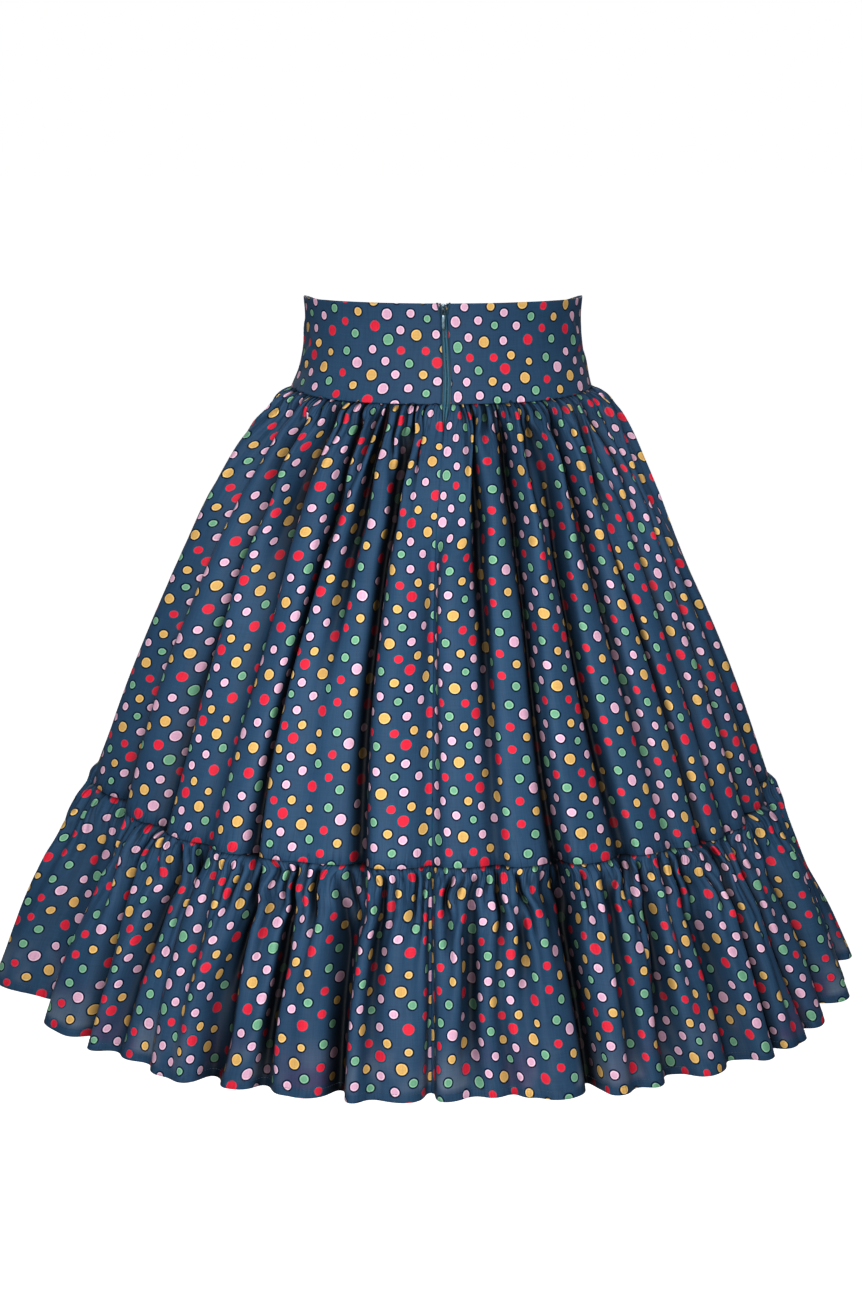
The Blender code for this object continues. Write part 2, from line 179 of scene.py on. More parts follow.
@dataclass(frozen=True)
class Level:
    """A seam's height at the sides, and how much lower it runs at the back and the front.

    power sets how soon the seam drops away from the sides, and right_sag how far it sags in one place
    on the right: about the angle sag_turn, over the angle sag_spread.
    """

    side: float
    back_drop: float
    front_drop: float
    right_sag: float
    power: float = 5.0
    sag_turn: float = math.radians(70)
    sag_spread: float = math.radians(26)

    def height(self, turn: Array) -> Array:
        """Works out the seam's height.

        Args:
            turn: Angles in radians from the centre back.

        Returns:
            The height at each angle.
        """
        drop = np.where(np.cos(turn) > 0, self.back_drop, self.front_drop)
        sag = self.right_sag * np.exp(-(((turn - self.sag_turn) / self.sag_spread) ** 2))
        return self.side - drop * (1 - np.abs(np.sin(turn)) ** self.power) - sag


@dataclass(frozen=True)
class Row:
    """One row of a cloth grid: its drop, how far it lies inside the cloth's face, and its extra height."""

    drop: float
    inset: float = 0.0
    lift: float = 0.0


TOP_EDGE = Level(0.0303, -0.0006, 0.017, 0.0)
WAIST_SEAM = Level(-0.0513, 0.005, 0.012, 0.0)
TIER_SEAM = Level(-0.4060, 0.032, 0.031, 0.021)
HEM_LEVEL = Level(-0.5860, 0.0362, 0.036, 0.013, 6.0)

BAND_RINGS = (
    Ring(0.00, 0.1272, 1.0, 0.001),
    Ring(0.20, 0.1260, 1.0, 0.001),
    Ring(0.40, 0.1266, 1.0, 0.001),
    Ring(0.60, 0.1285, 1.0, 0.001),
    Ring(0.80, 0.1322, 1.0, 0.001),
    Ring(1.00, 0.1376, 1.0, 0.001),
)
TIER_RINGS = (
    Ring(-0.024, 0.1318, 0.44, 0.0030),
    Ring(-0.008, 0.1342, 0.47, 0.0040),
    Ring(0.000, 0.1374, 0.54, 0.0060),
    Ring(0.006, 0.1428, 0.68, 0.0095),
    Ring(0.015, 0.1475, 0.82, 0.0130),
    Ring(0.050, 0.1560, 1.0, 0.022),
    Ring(0.120, 0.1745, 1.0, 0.032),
    Ring(0.260, 0.2025, 1.0, 0.042),
    Ring(0.500, 0.2430, 1.0, 0.055),
    Ring(0.750, 0.2812, 1.0, 0.060),
    Ring(1.000, 0.3148, 1.0, 0.060),
)
RUFFLE_RINGS = (
    Ring(-0.06, 0.3112, 0.68, 0.060),
    Ring(-0.02, 0.3130, 0.70, 0.060),
    Ring(0.00, 0.3150, 0.74, 0.060),
    Ring(0.03, 0.3185, 0.84, 0.060),
    Ring(0.07, 0.3222, 0.93, 0.060),
    Ring(0.25, 0.3383, 1.0, 0.060),
    Ring(0.60, 0.3680, 1.0, 0.060),
    Ring(1.00, 0.3958, 1.0, 0.060),
)
FOLDS = (
    Fold(-83.0, 0.9),
    Fold(-65.0, 1.0),
    Fold(-51.5, 1.0),
    Fold(-40.0, 0.5),
    Fold(-29.5, 1.1),
    Fold(-21.0, 0.4),
    Fold(-12.5, 1.1),
    Fold(0.0, 0.6),
    Fold(10.7, 0.9),
    Fold(20.6, 1.5),
    Fold(33.0, 0.9),
    Fold(43.0, 0.8),
    Fold(52.0, 1.0),
    Fold(61.0, 0.5),
    Fold(71.0, 1.0),
    Fold(84.0, 0.9),
    Fold(97.0, 0.9),
    Fold(107.0, 0.6),
    Fold(119.0, 1.1),
    Fold(129.0, 0.8),
    Fold(142.0, 1.2),
    Fold(151.0, 0.6),
    Fold(163.0, 1.0),
    Fold(174.0, 0.7),
    Fold(186.0, 1.1),
    Fold(197.0, 0.5),
    Fold(207.0, 1.0),
    Fold(220.0, 1.3),
    Fold(231.0, 0.7),
    Fold(242.0, 1.0),
    Fold(253.0, 0.6),
    Fold(264.0, 0.9),
)
ZIP_STRIP = (
    Strip(-0.024, -0.0040, 1.0),
    Strip(0.000, -0.0014, 1.0),
    Strip(0.015, -0.0060, 1.0),
    Strip(0.050, -0.0085, 1.0),
    Strip(0.120, -0.0085, 1.0),
    Strip(0.260, -0.0080, 1.0),
    Strip(0.500, -0.0060, 0.0),
    Strip(1.000, -0.0060, 0.0),
)
BAND_CREASES = (
    Crease(-74.0, 0.62, 0.040, 0.0050, -38.0, 0.0016),
    Crease(-66.0, 0.44, 0.034, 0.0055, 24.0, 0.0012),
    Crease(-82.0, 0.30, 0.030, 0.0050, -50.0, 0.0013),
    Crease(-56.0, 0.72, 0.036, 0.0060, -26.0, 0.0009),
    Crease(66.0, 0.26, 0.036, 0.0050, 34.0, 0.0014),
    Crease(74.0, 0.46, 0.040, 0.0055, -30.0, 0.0013),
    Crease(83.0, 0.66, 0.030, 0.0050, 46.0, 0.0013),
    Crease(57.0, 0.64, 0.034, 0.0060, -18.0, 0.0008),
    Crease(103.0, 0.40, 0.038, 0.0060, 32.0, 0.0012),
    Crease(131.0, 0.62, 0.044, 0.0070, -20.0, 0.0008),
    Crease(172.0, 0.52, 0.050, 0.0080, 8.0, 0.0007),
    Crease(214.0, 0.58, 0.044, 0.0070, 22.0, 0.0009),
    Crease(255.0, 0.42, 0.038, 0.0060, -34.0, 0.0012),
)
PINK, YELLOW, RED, GREEN = DotColour
SMALL, NORMAL, LARGE = DotSize
# Charted three dots to a column, from the top: every other column is staggered by half a row.
DOT_CHART = (
    Dot(PINK, NORMAL, 0.3, -5.2),
    Dot(PINK, NORMAL, -0.3, -2.6),
    Dot(RED, LARGE, 0.1, 0.2),
    Dot(YELLOW, LARGE, 5.5, -1.9),
    Dot(PINK, NORMAL, -0.1, -4.3),
    Dot(YELLOW, NORMAL, -6.2, -0.6),
    Dot(GREEN, NORMAL, 2.0, -1.0),
    Dot(RED, LARGE, -1.4, -2.7),
    Dot(YELLOW, SMALL, -1.6, -5.2),
    Dot(RED, NORMAL, 2.2, 1.0),
    Dot(RED, NORMAL, 1.2, -1.0),
    Dot(GREEN, NORMAL, 4.0, 3.2),
    Dot(YELLOW, NORMAL, 2.6, 0.6),
    Dot(GREEN, NORMAL, -0.7, -1.7),
    Dot(PINK, LARGE, 3.1, 2.1),
    Dot(YELLOW, LARGE, 5.8, 1.2),
    Dot(RED, LARGE, 6.6, 1.8),
    Dot(PINK, NORMAL, 4.8, 0.6),
    Dot(PINK, LARGE, 5.4, 2.1),
    Dot(GREEN, LARGE, 6.6, 2.5),
    Dot(PINK, NORMAL, 4.6, -0.4),
    Dot(PINK, NORMAL, 1.7, 0.2),
    Dot(PINK, NORMAL, 5.1, 4.9),
    Dot(RED, NORMAL, 5.9, 0.8),
    Dot(PINK, NORMAL, 1.7, 1.2),
    Dot(YELLOW, LARGE, 7.0, -1.7),
    Dot(GREEN, NORMAL, 0.8, 1.2),
    Dot(YELLOW, NORMAL, 0.5, 0.0),
    Dot(GREEN, SMALL, 4.4, -5.2),
    Dot(RED, NORMAL, 2.8, 0.9),
)


def smooth_between(at: float, places: Array, values: Array) -> float:
    """Reads a short table between its rows along a smooth curve.

    Args:
        at: Where to read it.
        places: The rows' places, rising.
        values: The rows' values.

    Returns:
        The value there.
    """
    slopes = np.gradient(values, places)
    row = int(np.clip(np.searchsorted(places, at, "right") - 1, 0, len(places) - 2))
    width = places[row + 1] - places[row]
    t = float(np.clip((at - places[row]) / width, 0.0, 1.0))
    start = (1 + 2 * t) * (1 - t) ** 2 * values[row] + t * (1 - t) ** 2 * width * slopes[row]
    return start + t * t * (3 - 2 * t) * values[row + 1] - t * t * (1 - t) * width * slopes[row + 1]


def wave(share: Array, turns: float, start: float = 0.0) -> Array:
    """A sine wave with that many turns round the cloth."""
    return np.sin(FULL_TURN * turns * share + start)


class FoldMaths:
    """How cloth leans this way and that until its length fits round a ring."""

    SAMPLES = 4800
    STEEPEST_LEAN = math.radians(84)
    RIDGE_PERCENTILE = 88
    DRIFT_SHARE = 0.06
    FOLD_FOCUS = 1.2
    GATHER_FOCUS = 0.7
    TRIES = 24
    MOST_STRENGTH = 12.0
    DEPTH_POWER = 1.7
    OVERLAP = 0.42
    OVERLAP_CHANGE = 0.30
    GATHER_OVERLAP = 0.5

    @classmethod
    def shares(cls) -> Array:
        """Even shares round the cloth."""
        return np.arange(cls.SAMPLES) / cls.SAMPLES

    @classmethod
    def settled(cls, values: Array) -> Array:
        """Takes the slow drift out of values round the ring.

        Args:
            values: One value for each sample.

        Returns:
            The values without their average over a share of the ring.
        """
        window = int(cls.SAMPLES * cls.DRIFT_SHARE / 2)
        wrapped = np.concatenate([values[-window:], values, values[: window + 1]])
        total = np.concatenate([[0.0], np.cumsum(wrapped)])
        width = 2 * window + 1
        return values - (total[width : width + cls.SAMPLES] - total[: cls.SAMPLES]) / width

    @classmethod
    def folded(cls, fixed: Array, free: Array, cloth: float, ring: float) -> tuple[Array, Array, float]:
        """Finds how steeply the cloth leans for its length to fit round the ring.

        Args:
            fixed: The part of the lean that stays as it is.
            free: The part that grows until the cloth fits.
            cloth: The cloth's length at this level.
            ring: The length round the ridges.

        Returns:
            Each sample's share of the ring, its depth from the ridges, and the strength found.
        """
        share = cls.shares()
        step = cloth / cls.SAMPLES
        low, high = 0.0, cls.MOST_STRENGTH
        for _ in range(cls.TRIES):
            strength = (low + high) / 2
            lean = cls.STEEPEST_LEAN * np.tanh((fixed + strength * free) / cls.STEEPEST_LEAN)
            depth = np.cumsum(np.sin(lean)) * step
            depth = cls.settled(depth - share * depth[-1])
            depth = depth - np.percentile(depth, cls.RIDGE_PERCENTILE)
            if np.cos(lean).sum() * step > ring + FULL_TURN * depth.mean():
                low = strength
            else:
                high = strength
        along = np.cumsum(np.cos(lean)) - np.cos(lean)[0]
        drift = cls.settled(along / (along[-1] + np.cos(lean)[0]) - share)
        return share + drift - drift[0], depth, strength

    @staticmethod
    def pointed(phase: Array, focus: float) -> Array:
        """A lean that is slight over broad ridges and steep beside narrow valleys, at phase 0.

        Args:
            phase: The phase at each sample.
            focus: How narrow the valleys are; 0 gives a plain wave.

        Returns:
            The lean at each sample.
        """
        return (1 + 0.75 * focus) * np.sin(phase) * np.exp(focus * (np.cos(phase) - 1))

    @classmethod
    def fold_wave(cls, share: Array, depth_share: float) -> Array:
        """How the large folds lean the cloth: narrow valleys between broad ridges.

        Args:
            share: Shares round the cloth.
            depth_share: The ring's depth for each unit of its width.

        Returns:
            The lean at each share.
        """
        folds = sorted(FOLDS, key=lambda fold: fold.angle % 360)
        turns = np.radians([fold.angle % 360 for fold in folds])
        depths = np.array([fold.depth for fold in folds])
        around = np.linspace(0, FULL_TURN, 721)
        steps = np.hypot(np.cos(around), depth_share * np.sin(around))
        places = np.interp(turns, around, np.cumsum(steps) - steps[0]) / (steps.sum() - steps[0])
        places = np.append(places, 1 + places[0])
        phase = FULL_TURN * np.interp(share, places, np.arange(len(places)))
        depth = np.interp(share, places, np.append(depths, depths[0])) ** cls.DEPTH_POWER
        overlap = cls.OVERLAP + cls.OVERLAP_CHANGE * wave(share, 3, 0.4)
        return depth * cls.pointed(phase, cls.FOLD_FOCUS) * (1 + overlap * np.sin(phase))

    @classmethod
    def gather_wave(cls, share: Array, gathers: int) -> Array:
        """How the gathers lean the cloth, unevenly spaced and some deeper than others.

        Args:
            share: Shares round the cloth.
            gathers: How many gathers go round.

        Returns:
            The lean at each share.
        """
        bunched = 0.9 * wave(share, 4) + 0.5 * wave(share, 12) + 0.35 * wave(share, 28)
        phase = FULL_TURN * gathers * share + bunched
        uneven = 1 + 0.25 * wave(share, 13, 1.0) + 0.3 * wave(share, 31)
        overlap = cls.GATHER_OVERLAP * wave(share, 17)
        return uneven * cls.pointed(phase, cls.GATHER_FOCUS) * (1 + overlap * np.sin(phase))

    @staticmethod
    def uneven_reach(share: Array, shortest: float, longest: float) -> Array:
        """How far down each crease runs, changing unevenly round the cloth.

        Args:
            share: Shares round the cloth.
            shortest: The reach of the shortest creases.
            longest: The reach of the longest.

        Returns:
            The reach at each share.
        """
        mixed = 0.40 * wave(share, 37, 0.7) + 0.35 * wave(share, 61, 2.1) + 0.25 * wave(share, 97, 4.0)
        return shortest + (longest - shortest) * (0.5 + 0.5 * mixed) ** 2


@dataclass(frozen=True)
class ClothTube:
    """One cloth wall all round: its rings, the seams above and below, and its cloth's length."""

    rings: tuple[Ring, ...]
    upper: Level
    lower: Level
    cloth: float
    depth_shares: tuple[float, float]
    seam_gap: float = 0.0003
    sway: float = -0.0108
    sway_starts: float = -0.035
    sway_height: float = 0.12
    lean_at_seam: float = 0.0045
    parting_spread: float = 0.018

    def ring(self, drop: float) -> Ring:
        """The ring at any drop, read smoothly between the table's rows."""
        places = np.array([ring.drop for ring in self.rings])
        names = ("half_width", "kept", "deepest")
        columns = (np.array([getattr(ring, name) for ring in self.rings]) for name in names)
        return Ring(drop, *(smooth_between(drop, places, column) for column in columns))

    def half_depth(self, ring: Ring) -> float:
        """The ring's size from front to back, halved."""
        upper, lower = self.depth_shares
        return ring.half_width * (upper + (lower - upper) * float(np.clip(ring.drop, 0.0, 1.0)))

    def outline(self, ring: Ring, share: Array) -> tuple[Array, Array, Array, float]:
        """Places points on the oval ring.

        Args:
            ring: The ring.
            share: Shares of its length from the centre back, towards the right.

        Returns:
            Points, outward directions, angles and the whole length.
        """
        half_width, half_depth = ring.half_width, self.half_depth(ring)
        turn = np.linspace(-0.3, FULL_TURN + 0.3, 3601)
        length = np.hypot(np.diff(half_width * np.sin(turn)), np.diff(half_depth * np.cos(turn)))
        along = np.concatenate([[0], np.cumsum(length)])
        start, end = np.interp([0.0, FULL_TURN], turn, along)
        at = np.interp(start + share * (end - start), along, turn)
        points = np.stack([half_width * np.sin(at), -half_depth * np.cos(at)], axis=1)
        outward = np.stack([half_depth * np.sin(at), -half_width * np.cos(at)], axis=1)
        return points, outward / np.linalg.norm(outward, axis=1)[:, None], at, end - start

    def heights(self, drop: float, turn: Array) -> Array:
        """The height at each angle, at one drop between the two seams."""
        upper = self.upper.height(turn) - self.seam_gap
        return upper + (self.lower.height(turn) - upper) * drop

    def swayed(self, height: Array) -> Array:
        """How far the skirt hangs to the side at each height."""
        fall = np.exp(np.minimum(height - self.sway_starts, 0.0) / self.sway_height)
        return self.sway * (1 - fall)

    def parting(self, drop: float) -> tuple[float, float]:
        """Half the gap at the centre back, and how far the centre back leans to the right."""
        return self.seam_gap / 2, 0.0

    def folded(self, ring: Ring) -> tuple[Array, Array]:
        """Each sample's share of the ring and its depth from the ridges."""
        share = FoldMaths.shares()
        return share, 0 * share

    def relief(self, drop: float, share: Array, turn: Array) -> Array:
        """Small forms that stand on the folds, as heights outward."""
        return 0 * share

    def line(self, row: Row, columns: Array) -> tuple[Array, Array]:
        """Places one row of the cloth.

        Args:
            row: The row's drop, inset and lift.
            columns: Shares round the cloth, one for each point.

        Returns:
            The points, and the outward direction at each.
        """
        ring = self.ring(row.drop)
        share = FoldMaths.shares()
        around, depth = self.folded(ring)
        around = np.interp(columns, np.append(share, 1.0), np.append(around, 1.0))
        depth = np.interp(columns, np.append(share, 1.0), np.append(depth, depth[0]))
        length = self.outline(ring, np.zeros(1))[3]
        gap, lean = self.parting(row.drop)
        spread = self.parting_spread / length
        right = (lean + gap) / length * np.exp(-around / spread)
        left = (lean - gap) / length * np.exp(-(1 - around) / spread)
        points, outward, turn, _ = self.outline(ring, around + right + left)
        height = self.heights(row.drop, turn)
        depth = depth + self.relief(row.drop, columns, turn)
        flat = points + outward * depth[:, None]
        flat[:, 0] += self.swayed(height)
        ahead = np.gradient(flat, axis=0)
        ahead = ahead / np.maximum(np.linalg.norm(ahead, axis=1), 1e-9)[:, None]
        facing = np.stack([ahead[:, 1], -ahead[:, 0]], axis=1)
        flat = flat - facing * row.inset
        return np.column_stack([flat, height + row.lift]), np.column_stack([facing, 0 * height])


@dataclass(frozen=True)
class BandTube(ClothTube):
    """The smooth waistband."""

    gap_at_top: float = 0.0027
    gap_at_bottom: float = 0.0042
    creases: tuple[Crease, ...] = BAND_CREASES
    crease_strength: float = 1.4
    unevenness: float = 0.00022

    def parting(self, drop: float) -> tuple[float, float]:
        """The band's edges stand apart over the zip, more so towards the waist seam."""
        return self.gap_at_top + (self.gap_at_bottom - self.gap_at_top) * drop, self.lean_at_seam * drop

    def relief(self, drop: float, share: Array, turn: Array) -> Array:
        """Soft pull creases near the sides, and a faint unevenness all over."""
        ring = self.ring(drop)
        tall = self.upper.side - self.lower.side
        rise = self.unevenness * wave(share, 23, 3 * drop) * wave(share, 9, 1.0)
        for crease in self.creases:
            across = ring.half_width * ((turn - math.radians(crease.turn) + math.pi) % FULL_TURN - math.pi)
            down = (drop - crease.drop) * tall
            slant = math.radians(crease.slant)
            along = across * math.cos(slant) + down * math.sin(slant)
            beside = down * math.cos(slant) - across * math.sin(slant)
            shape = np.exp(-((along / (crease.length / 2)) ** 2) - (beside / crease.width) ** 2)
            edged = shape * (1 - 0.8 * (beside / crease.width) ** 2)
            rise = rise + self.crease_strength * crease.rise * edged
        return rise


@dataclass(frozen=True)
class TierTube(ClothTube):
    """The gathered skirt tier."""

    gathers: int = 64
    pleats: int = 118
    gap_at_top: float = 0.0042
    gap_closes_at: float = 0.06
    lean_fades_at: float = 0.30
    strip_half_width: float = 0.014
    strip_blend: float = 0.022
    strip_reach: float = 0.045
    fold_wander: float = 0.0014
    folds_at_top: float = 0.50
    folds_full_at: float = 0.35
    fold_change: float = 0.35
    middle_strength: float = 0.55
    middle_reach: float = 0.35
    small_strength: float = 1.2
    fine_strength: float = 1.6
    ripple_strength: float = 0.05

    def parting(self, drop: float) -> tuple[float, float]:
        """The edges stand apart at the waist seam and meet just below it."""
        still_open = float(np.clip(1 - drop / self.gap_closes_at, 0.0, 1.0))
        shut = self.seam_gap / 2
        lean = self.lean_at_seam * float(np.clip(1 - drop / self.lean_fades_at, 0.0, 1.0))
        return shut + (self.gap_at_top - shut) * still_open, lean

    def waves(self, share: Array, drop: float) -> Array:
        """How the cloth leans at one drop: gathers under the waist seam give way to large folds.

        Args:
            share: Shares round the cloth.
            drop: How far down the tier.

        Returns:
            The lean at each share.
        """
        drop = max(drop, 0.0)
        wander = self.fold_wander * (wave(share, 7, 6 * drop) - math.sin(6 * drop))
        large = FoldMaths.fold_wave(share + wander, self.depth_shares[1])
        grown = self.folds_at_top + (1 - self.folds_at_top) * min(1.0, drop / self.folds_full_at)
        large = large * grown * (1 + self.fold_change * wave(share, 11, 2.6 * drop))
        fading = self.middle_strength * math.exp(-((drop / self.middle_reach) ** 2))
        middle = fading * FoldMaths.gather_wave(share, self.gathers // 2)
        reach = FoldMaths.uneven_reach(share, 0.04, 0.17)
        small = self.small_strength * np.exp(-drop / reach) * FoldMaths.gather_wave(share, self.gathers)
        reach = FoldMaths.uneven_reach(share + 0.37, 0.03, 0.12)
        fanned = share + 0.013 + 0.030 * min(drop, 0.2) * wave(share, 9, 0.5)
        fine = self.fine_strength * np.exp(-drop / reach) * FoldMaths.gather_wave(fanned, self.pleats)
        ripple = self.ripple_strength * wave(share, 47, 5 * drop) * wave(share, 5, 2.0)
        return large + middle + small + fine + ripple

    def held(self, share: Array, drop: float) -> tuple[float, float, Array]:
        """How the cloth is held flat beside the zip.

        Args:
            share: Shares round the cloth.
            drop: How far down the tier.

        Returns:
            The depth wanted there, how firm it is, and how firmly each sample is held.
        """
        places = np.array([strip.drop for strip in ZIP_STRIP])
        depth = float(np.interp(drop, places, [strip.depth for strip in ZIP_STRIP]))
        hold = float(np.interp(drop, places, [strip.hold for strip in ZIP_STRIP]))
        away = np.minimum(share, 1 - share) * self.cloth
        ease = np.clip((away - self.strip_half_width) / self.strip_blend, 0, 1)
        return depth, hold, hold * (1 - ease * ease * (3 - 2 * ease))

    def solved(self, ring: Ring) -> tuple[Array, Array, float]:
        """The ring's folds, with the strength that makes the cloth fit."""
        share = FoldMaths.shares()
        wanted, hold, firm = self.held(share, ring.drop)
        free = self.waves(share, ring.drop) * (1 - firm)
        length = self.outline(ring, np.zeros(1))[3]
        around, depth, strength = FoldMaths.folded(0 * share, free, self.cloth * ring.kept, length)
        depth = np.where(depth < 0, ring.deepest * np.tanh(depth / ring.deepest), depth)
        away = np.minimum(share, 1 - share) * self.cloth
        depth = depth + hold * (wanted - depth[0]) * np.exp(-((away / self.strip_reach) ** 2))
        return around, depth, strength

    def folded(self, ring: Ring) -> tuple[Array, Array]:
        """Each sample's share of the ring and its depth from the ridges."""
        return self.solved(ring)[:2]


@dataclass(frozen=True)
class RuffleTube(ClothTube):
    """The deep gathered ruffle, which follows the tier's large folds."""

    tier: TierTube = field(default_factory=lambda: TIER)
    gathers: int = 92
    puckers: int = 207
    sewn_from: float = 0.004
    sewn_until: float = 0.05
    pucker_depth: float = 0.0016
    fold_deepening: float = 0.5
    small_strength: float = 0.9
    middle_strength: float = 0.5
    middle_full_at: float = 0.35
    fine_strength: float = 1.6
    ripple_strength: float = 0.10

    def waves(self, share: Array, drop: float) -> Array:
        """The ruffle's own lean at one drop: dense gathers that open into soft waves.

        Args:
            share: Shares round the cloth.
            drop: How far down the ruffle.

        Returns:
            The lean at each share.
        """
        drop = max(drop, 0.0)
        reach = FoldMaths.uneven_reach(share, 0.20, 0.60)
        small = self.small_strength * np.exp(-drop / reach) * FoldMaths.gather_wave(share, self.gathers)
        grown = self.middle_strength * min(1.0, drop / self.middle_full_at)
        middle = grown * FoldMaths.gather_wave(share, self.gathers // 2)
        reach = FoldMaths.uneven_reach(share + 0.61, 0.04, 0.30)
        fanned = share + 0.007 + 0.020 * min(drop, 0.35) * wave(share, 11, 1.2)
        fine = self.fine_strength * np.exp(-drop / reach) * FoldMaths.gather_wave(fanned, self.puckers)
        ripple = self.ripple_strength * wave(share, 67, 7 * drop) * wave(share, 6, 1.0)
        return small + middle + fine + ripple

    def folded(self, ring: Ring) -> tuple[Array, Array]:
        """Each sample's share of the ring and its depth from the ridges."""
        share = FoldMaths.shares()
        seam_around, seam_depth, strength = self.tier_foot()
        deepening = 1 + self.fold_deepening * max(ring.drop, 0.0)
        fixed = strength * self.tier.waves(share, 1.0) * deepening
        length = self.outline(ring, np.zeros(1))[3]
        free = self.waves(share, ring.drop)
        around, depth, _ = FoldMaths.folded(fixed, free, self.cloth * ring.kept, length)
        sewn = float(np.clip(1 - (ring.drop - self.sewn_from) / self.sewn_until, 0.0, 1.0)) ** 2
        pucker = self.pucker_depth * (1 + wave(share, self.puckers, 2 * wave(share, 7))) / 2
        depth = depth + sewn * (seam_depth - pucker - depth)
        return around + sewn * (seam_around - around), depth

    def tier_foot(self) -> tuple[Array, Array, float]:
        """The tier's folds where the ruffle is sewn on: places, depths and strength."""
        if not FOOT_FOLDS:
            FOOT_FOLDS.append(self.tier.solved(self.tier.ring(1.0)))
        return FOOT_FOLDS[0]


FOOT_FOLDS: list[tuple[Array, Array, float]] = []
BAND = BandTube(BAND_RINGS, TOP_EDGE, WAIST_SEAM, 0.0, (0.76, 0.77), seam_gap=0.0)
TIER = TierTube(TIER_RINGS, WAIST_SEAM, TIER_SEAM, 2.10, (0.77, 0.84))
RUFFLE = RuffleTube(RUFFLE_RINGS, TIER_SEAM, HEM_LEVEL, 3.20, (0.84, 0.86), tier=TIER)


class Wiring:
    """Adds nodes to one tree and joins their sockets."""

    def __init__(self, tree: bpy.types.NodeTree) -> None:
        """Keeps the tree that the nodes go into."""
        self.tree = tree

    def add(self, kind: str, **settings: object) -> bpy.types.Node:
        """Adds one node.

        Args:
            kind: The node's type.
            **settings: Its properties.

        Returns:
            The node.
        """
        node = self.tree.nodes.new(kind)
        for name, value in settings.items():
            setattr(node, name, value)
        return node

    def feed(self, socket: Socket, value: object) -> None:
        """Joins a socket to the one that feeds it, or sets its value.

        Args:
            socket: The input.
            value: An output socket, or a plain value.
        """
        if isinstance(value, bpy.types.NodeSocket):
            self.tree.links.new(value, socket)
        elif value is not None:
            socket.default_value = value

    def maths(self, operation: str, *values: object) -> Socket:
        """A sum on plain numbers.

        Args:
            operation: Which sum.
            *values: Sockets or numbers.

        Returns:
            The output.
        """
        node = self.add("ShaderNodeMath", operation=operation)
        for socket, value in zip(node.inputs, values):
            self.feed(socket, value)
        return node.outputs[0]

    def vector(self, operation: str, *values: object) -> Socket:
        """A sum on vectors.

        Args:
            operation: Which sum.
            *values: Sockets or triples.

        Returns:
            The output.
        """
        node = self.add("ShaderNodeVectorMath", operation=operation)
        for socket, value in zip(node.inputs, values):
            self.feed(socket, value)
        return node.outputs["Vector"]

    def scaled(self, value: object, factor: object) -> Socket:
        """Multiplies a colour or a vector by one number."""
        output = self.vector("SCALE", value)
        self.feed(output.node.inputs["Scale"], factor)
        return output

    def blend(self, factor: object, first: object, second: object) -> Socket:
        """Blends two colours.

        Args:
            factor: How much of the second.
            first: A colour or socket.
            second: A colour or socket.

        Returns:
            The blended colour.
        """
        node = self.add("ShaderNodeMix", data_type="RGBA")
        for index, value in ((0, factor), (6, first), (7, second)):
            if isinstance(value, tuple) and len(value) == 3:
                value = (*value, 1.0)
            self.feed(node.inputs[index], value)
        return node.outputs[2]

    def choose(self, factor: object, first: object, second: object) -> Socket:
        """Blends two plain numbers.

        Args:
            factor: How much of the second.
            first: A number or socket.
            second: A number or socket.

        Returns:
            The blended number.
        """
        node = self.add("ShaderNodeMix", data_type="FLOAT")
        for index, value in ((0, factor), (2, first), (3, second)):
            self.feed(node.inputs[index], value)
        return node.outputs[0]

    def ramp(self, value: object, low: float, high: float, start: float = 0.0, end: float = 1.0) -> Socket:
        """Maps a number smoothly from one range to another.

        Args:
            value: The number.
            low: Where the range starts.
            high: Where it ends.
            start: What the start becomes.
            end: What the end becomes.

        Returns:
            The mapped number.
        """
        node = self.add("ShaderNodeMapRange", interpolation_type="SMOOTHSTEP")
        for index, given in enumerate((value, low, high, start, end)):
            self.feed(node.inputs[index], given)
        return node.outputs[0]

    def noise(self, place: object, scale: float, detail: float = 2.0, roughness: float = 0.5) -> Socket:
        """A cloudy noise.

        Args:
            place: Where it is read.
            scale: How many clouds to a metre.
            detail: How many finer layers.
            roughness: How strong the finer layers are.

        Returns:
            A number about a half.
        """
        node = self.add("ShaderNodeTexNoise", noise_dimensions="3D")
        self.feed(node.inputs["Vector"], place)
        self.feed(node.inputs["Scale"], scale)
        self.feed(node.inputs["Detail"], detail)
        self.feed(node.inputs["Roughness"], roughness)
        return node.outputs["Fac"]

    def table(self, factor: Socket, colours: list[tuple[float, float, float, float]]) -> Socket:
        """Looks a colour up in a stepped table.

        Args:
            factor: The place in the table, from 0 to 1.
            colours: The table's colours.

        Returns:
            The colour of the step.
        """
        node = self.add("ShaderNodeValToRGB")
        node.color_ramp.interpolation = "CONSTANT"
        steps = node.color_ramp.elements
        steps.remove(steps[1])
        steps[0].position = 0.0
        steps[0].color = colours[0]
        for index, colour in enumerate(colours[1:], start=1):
            steps.new(index / len(colours)).color = colour
        self.feed(node.inputs["Fac"], factor)
        return node.outputs["Color"]


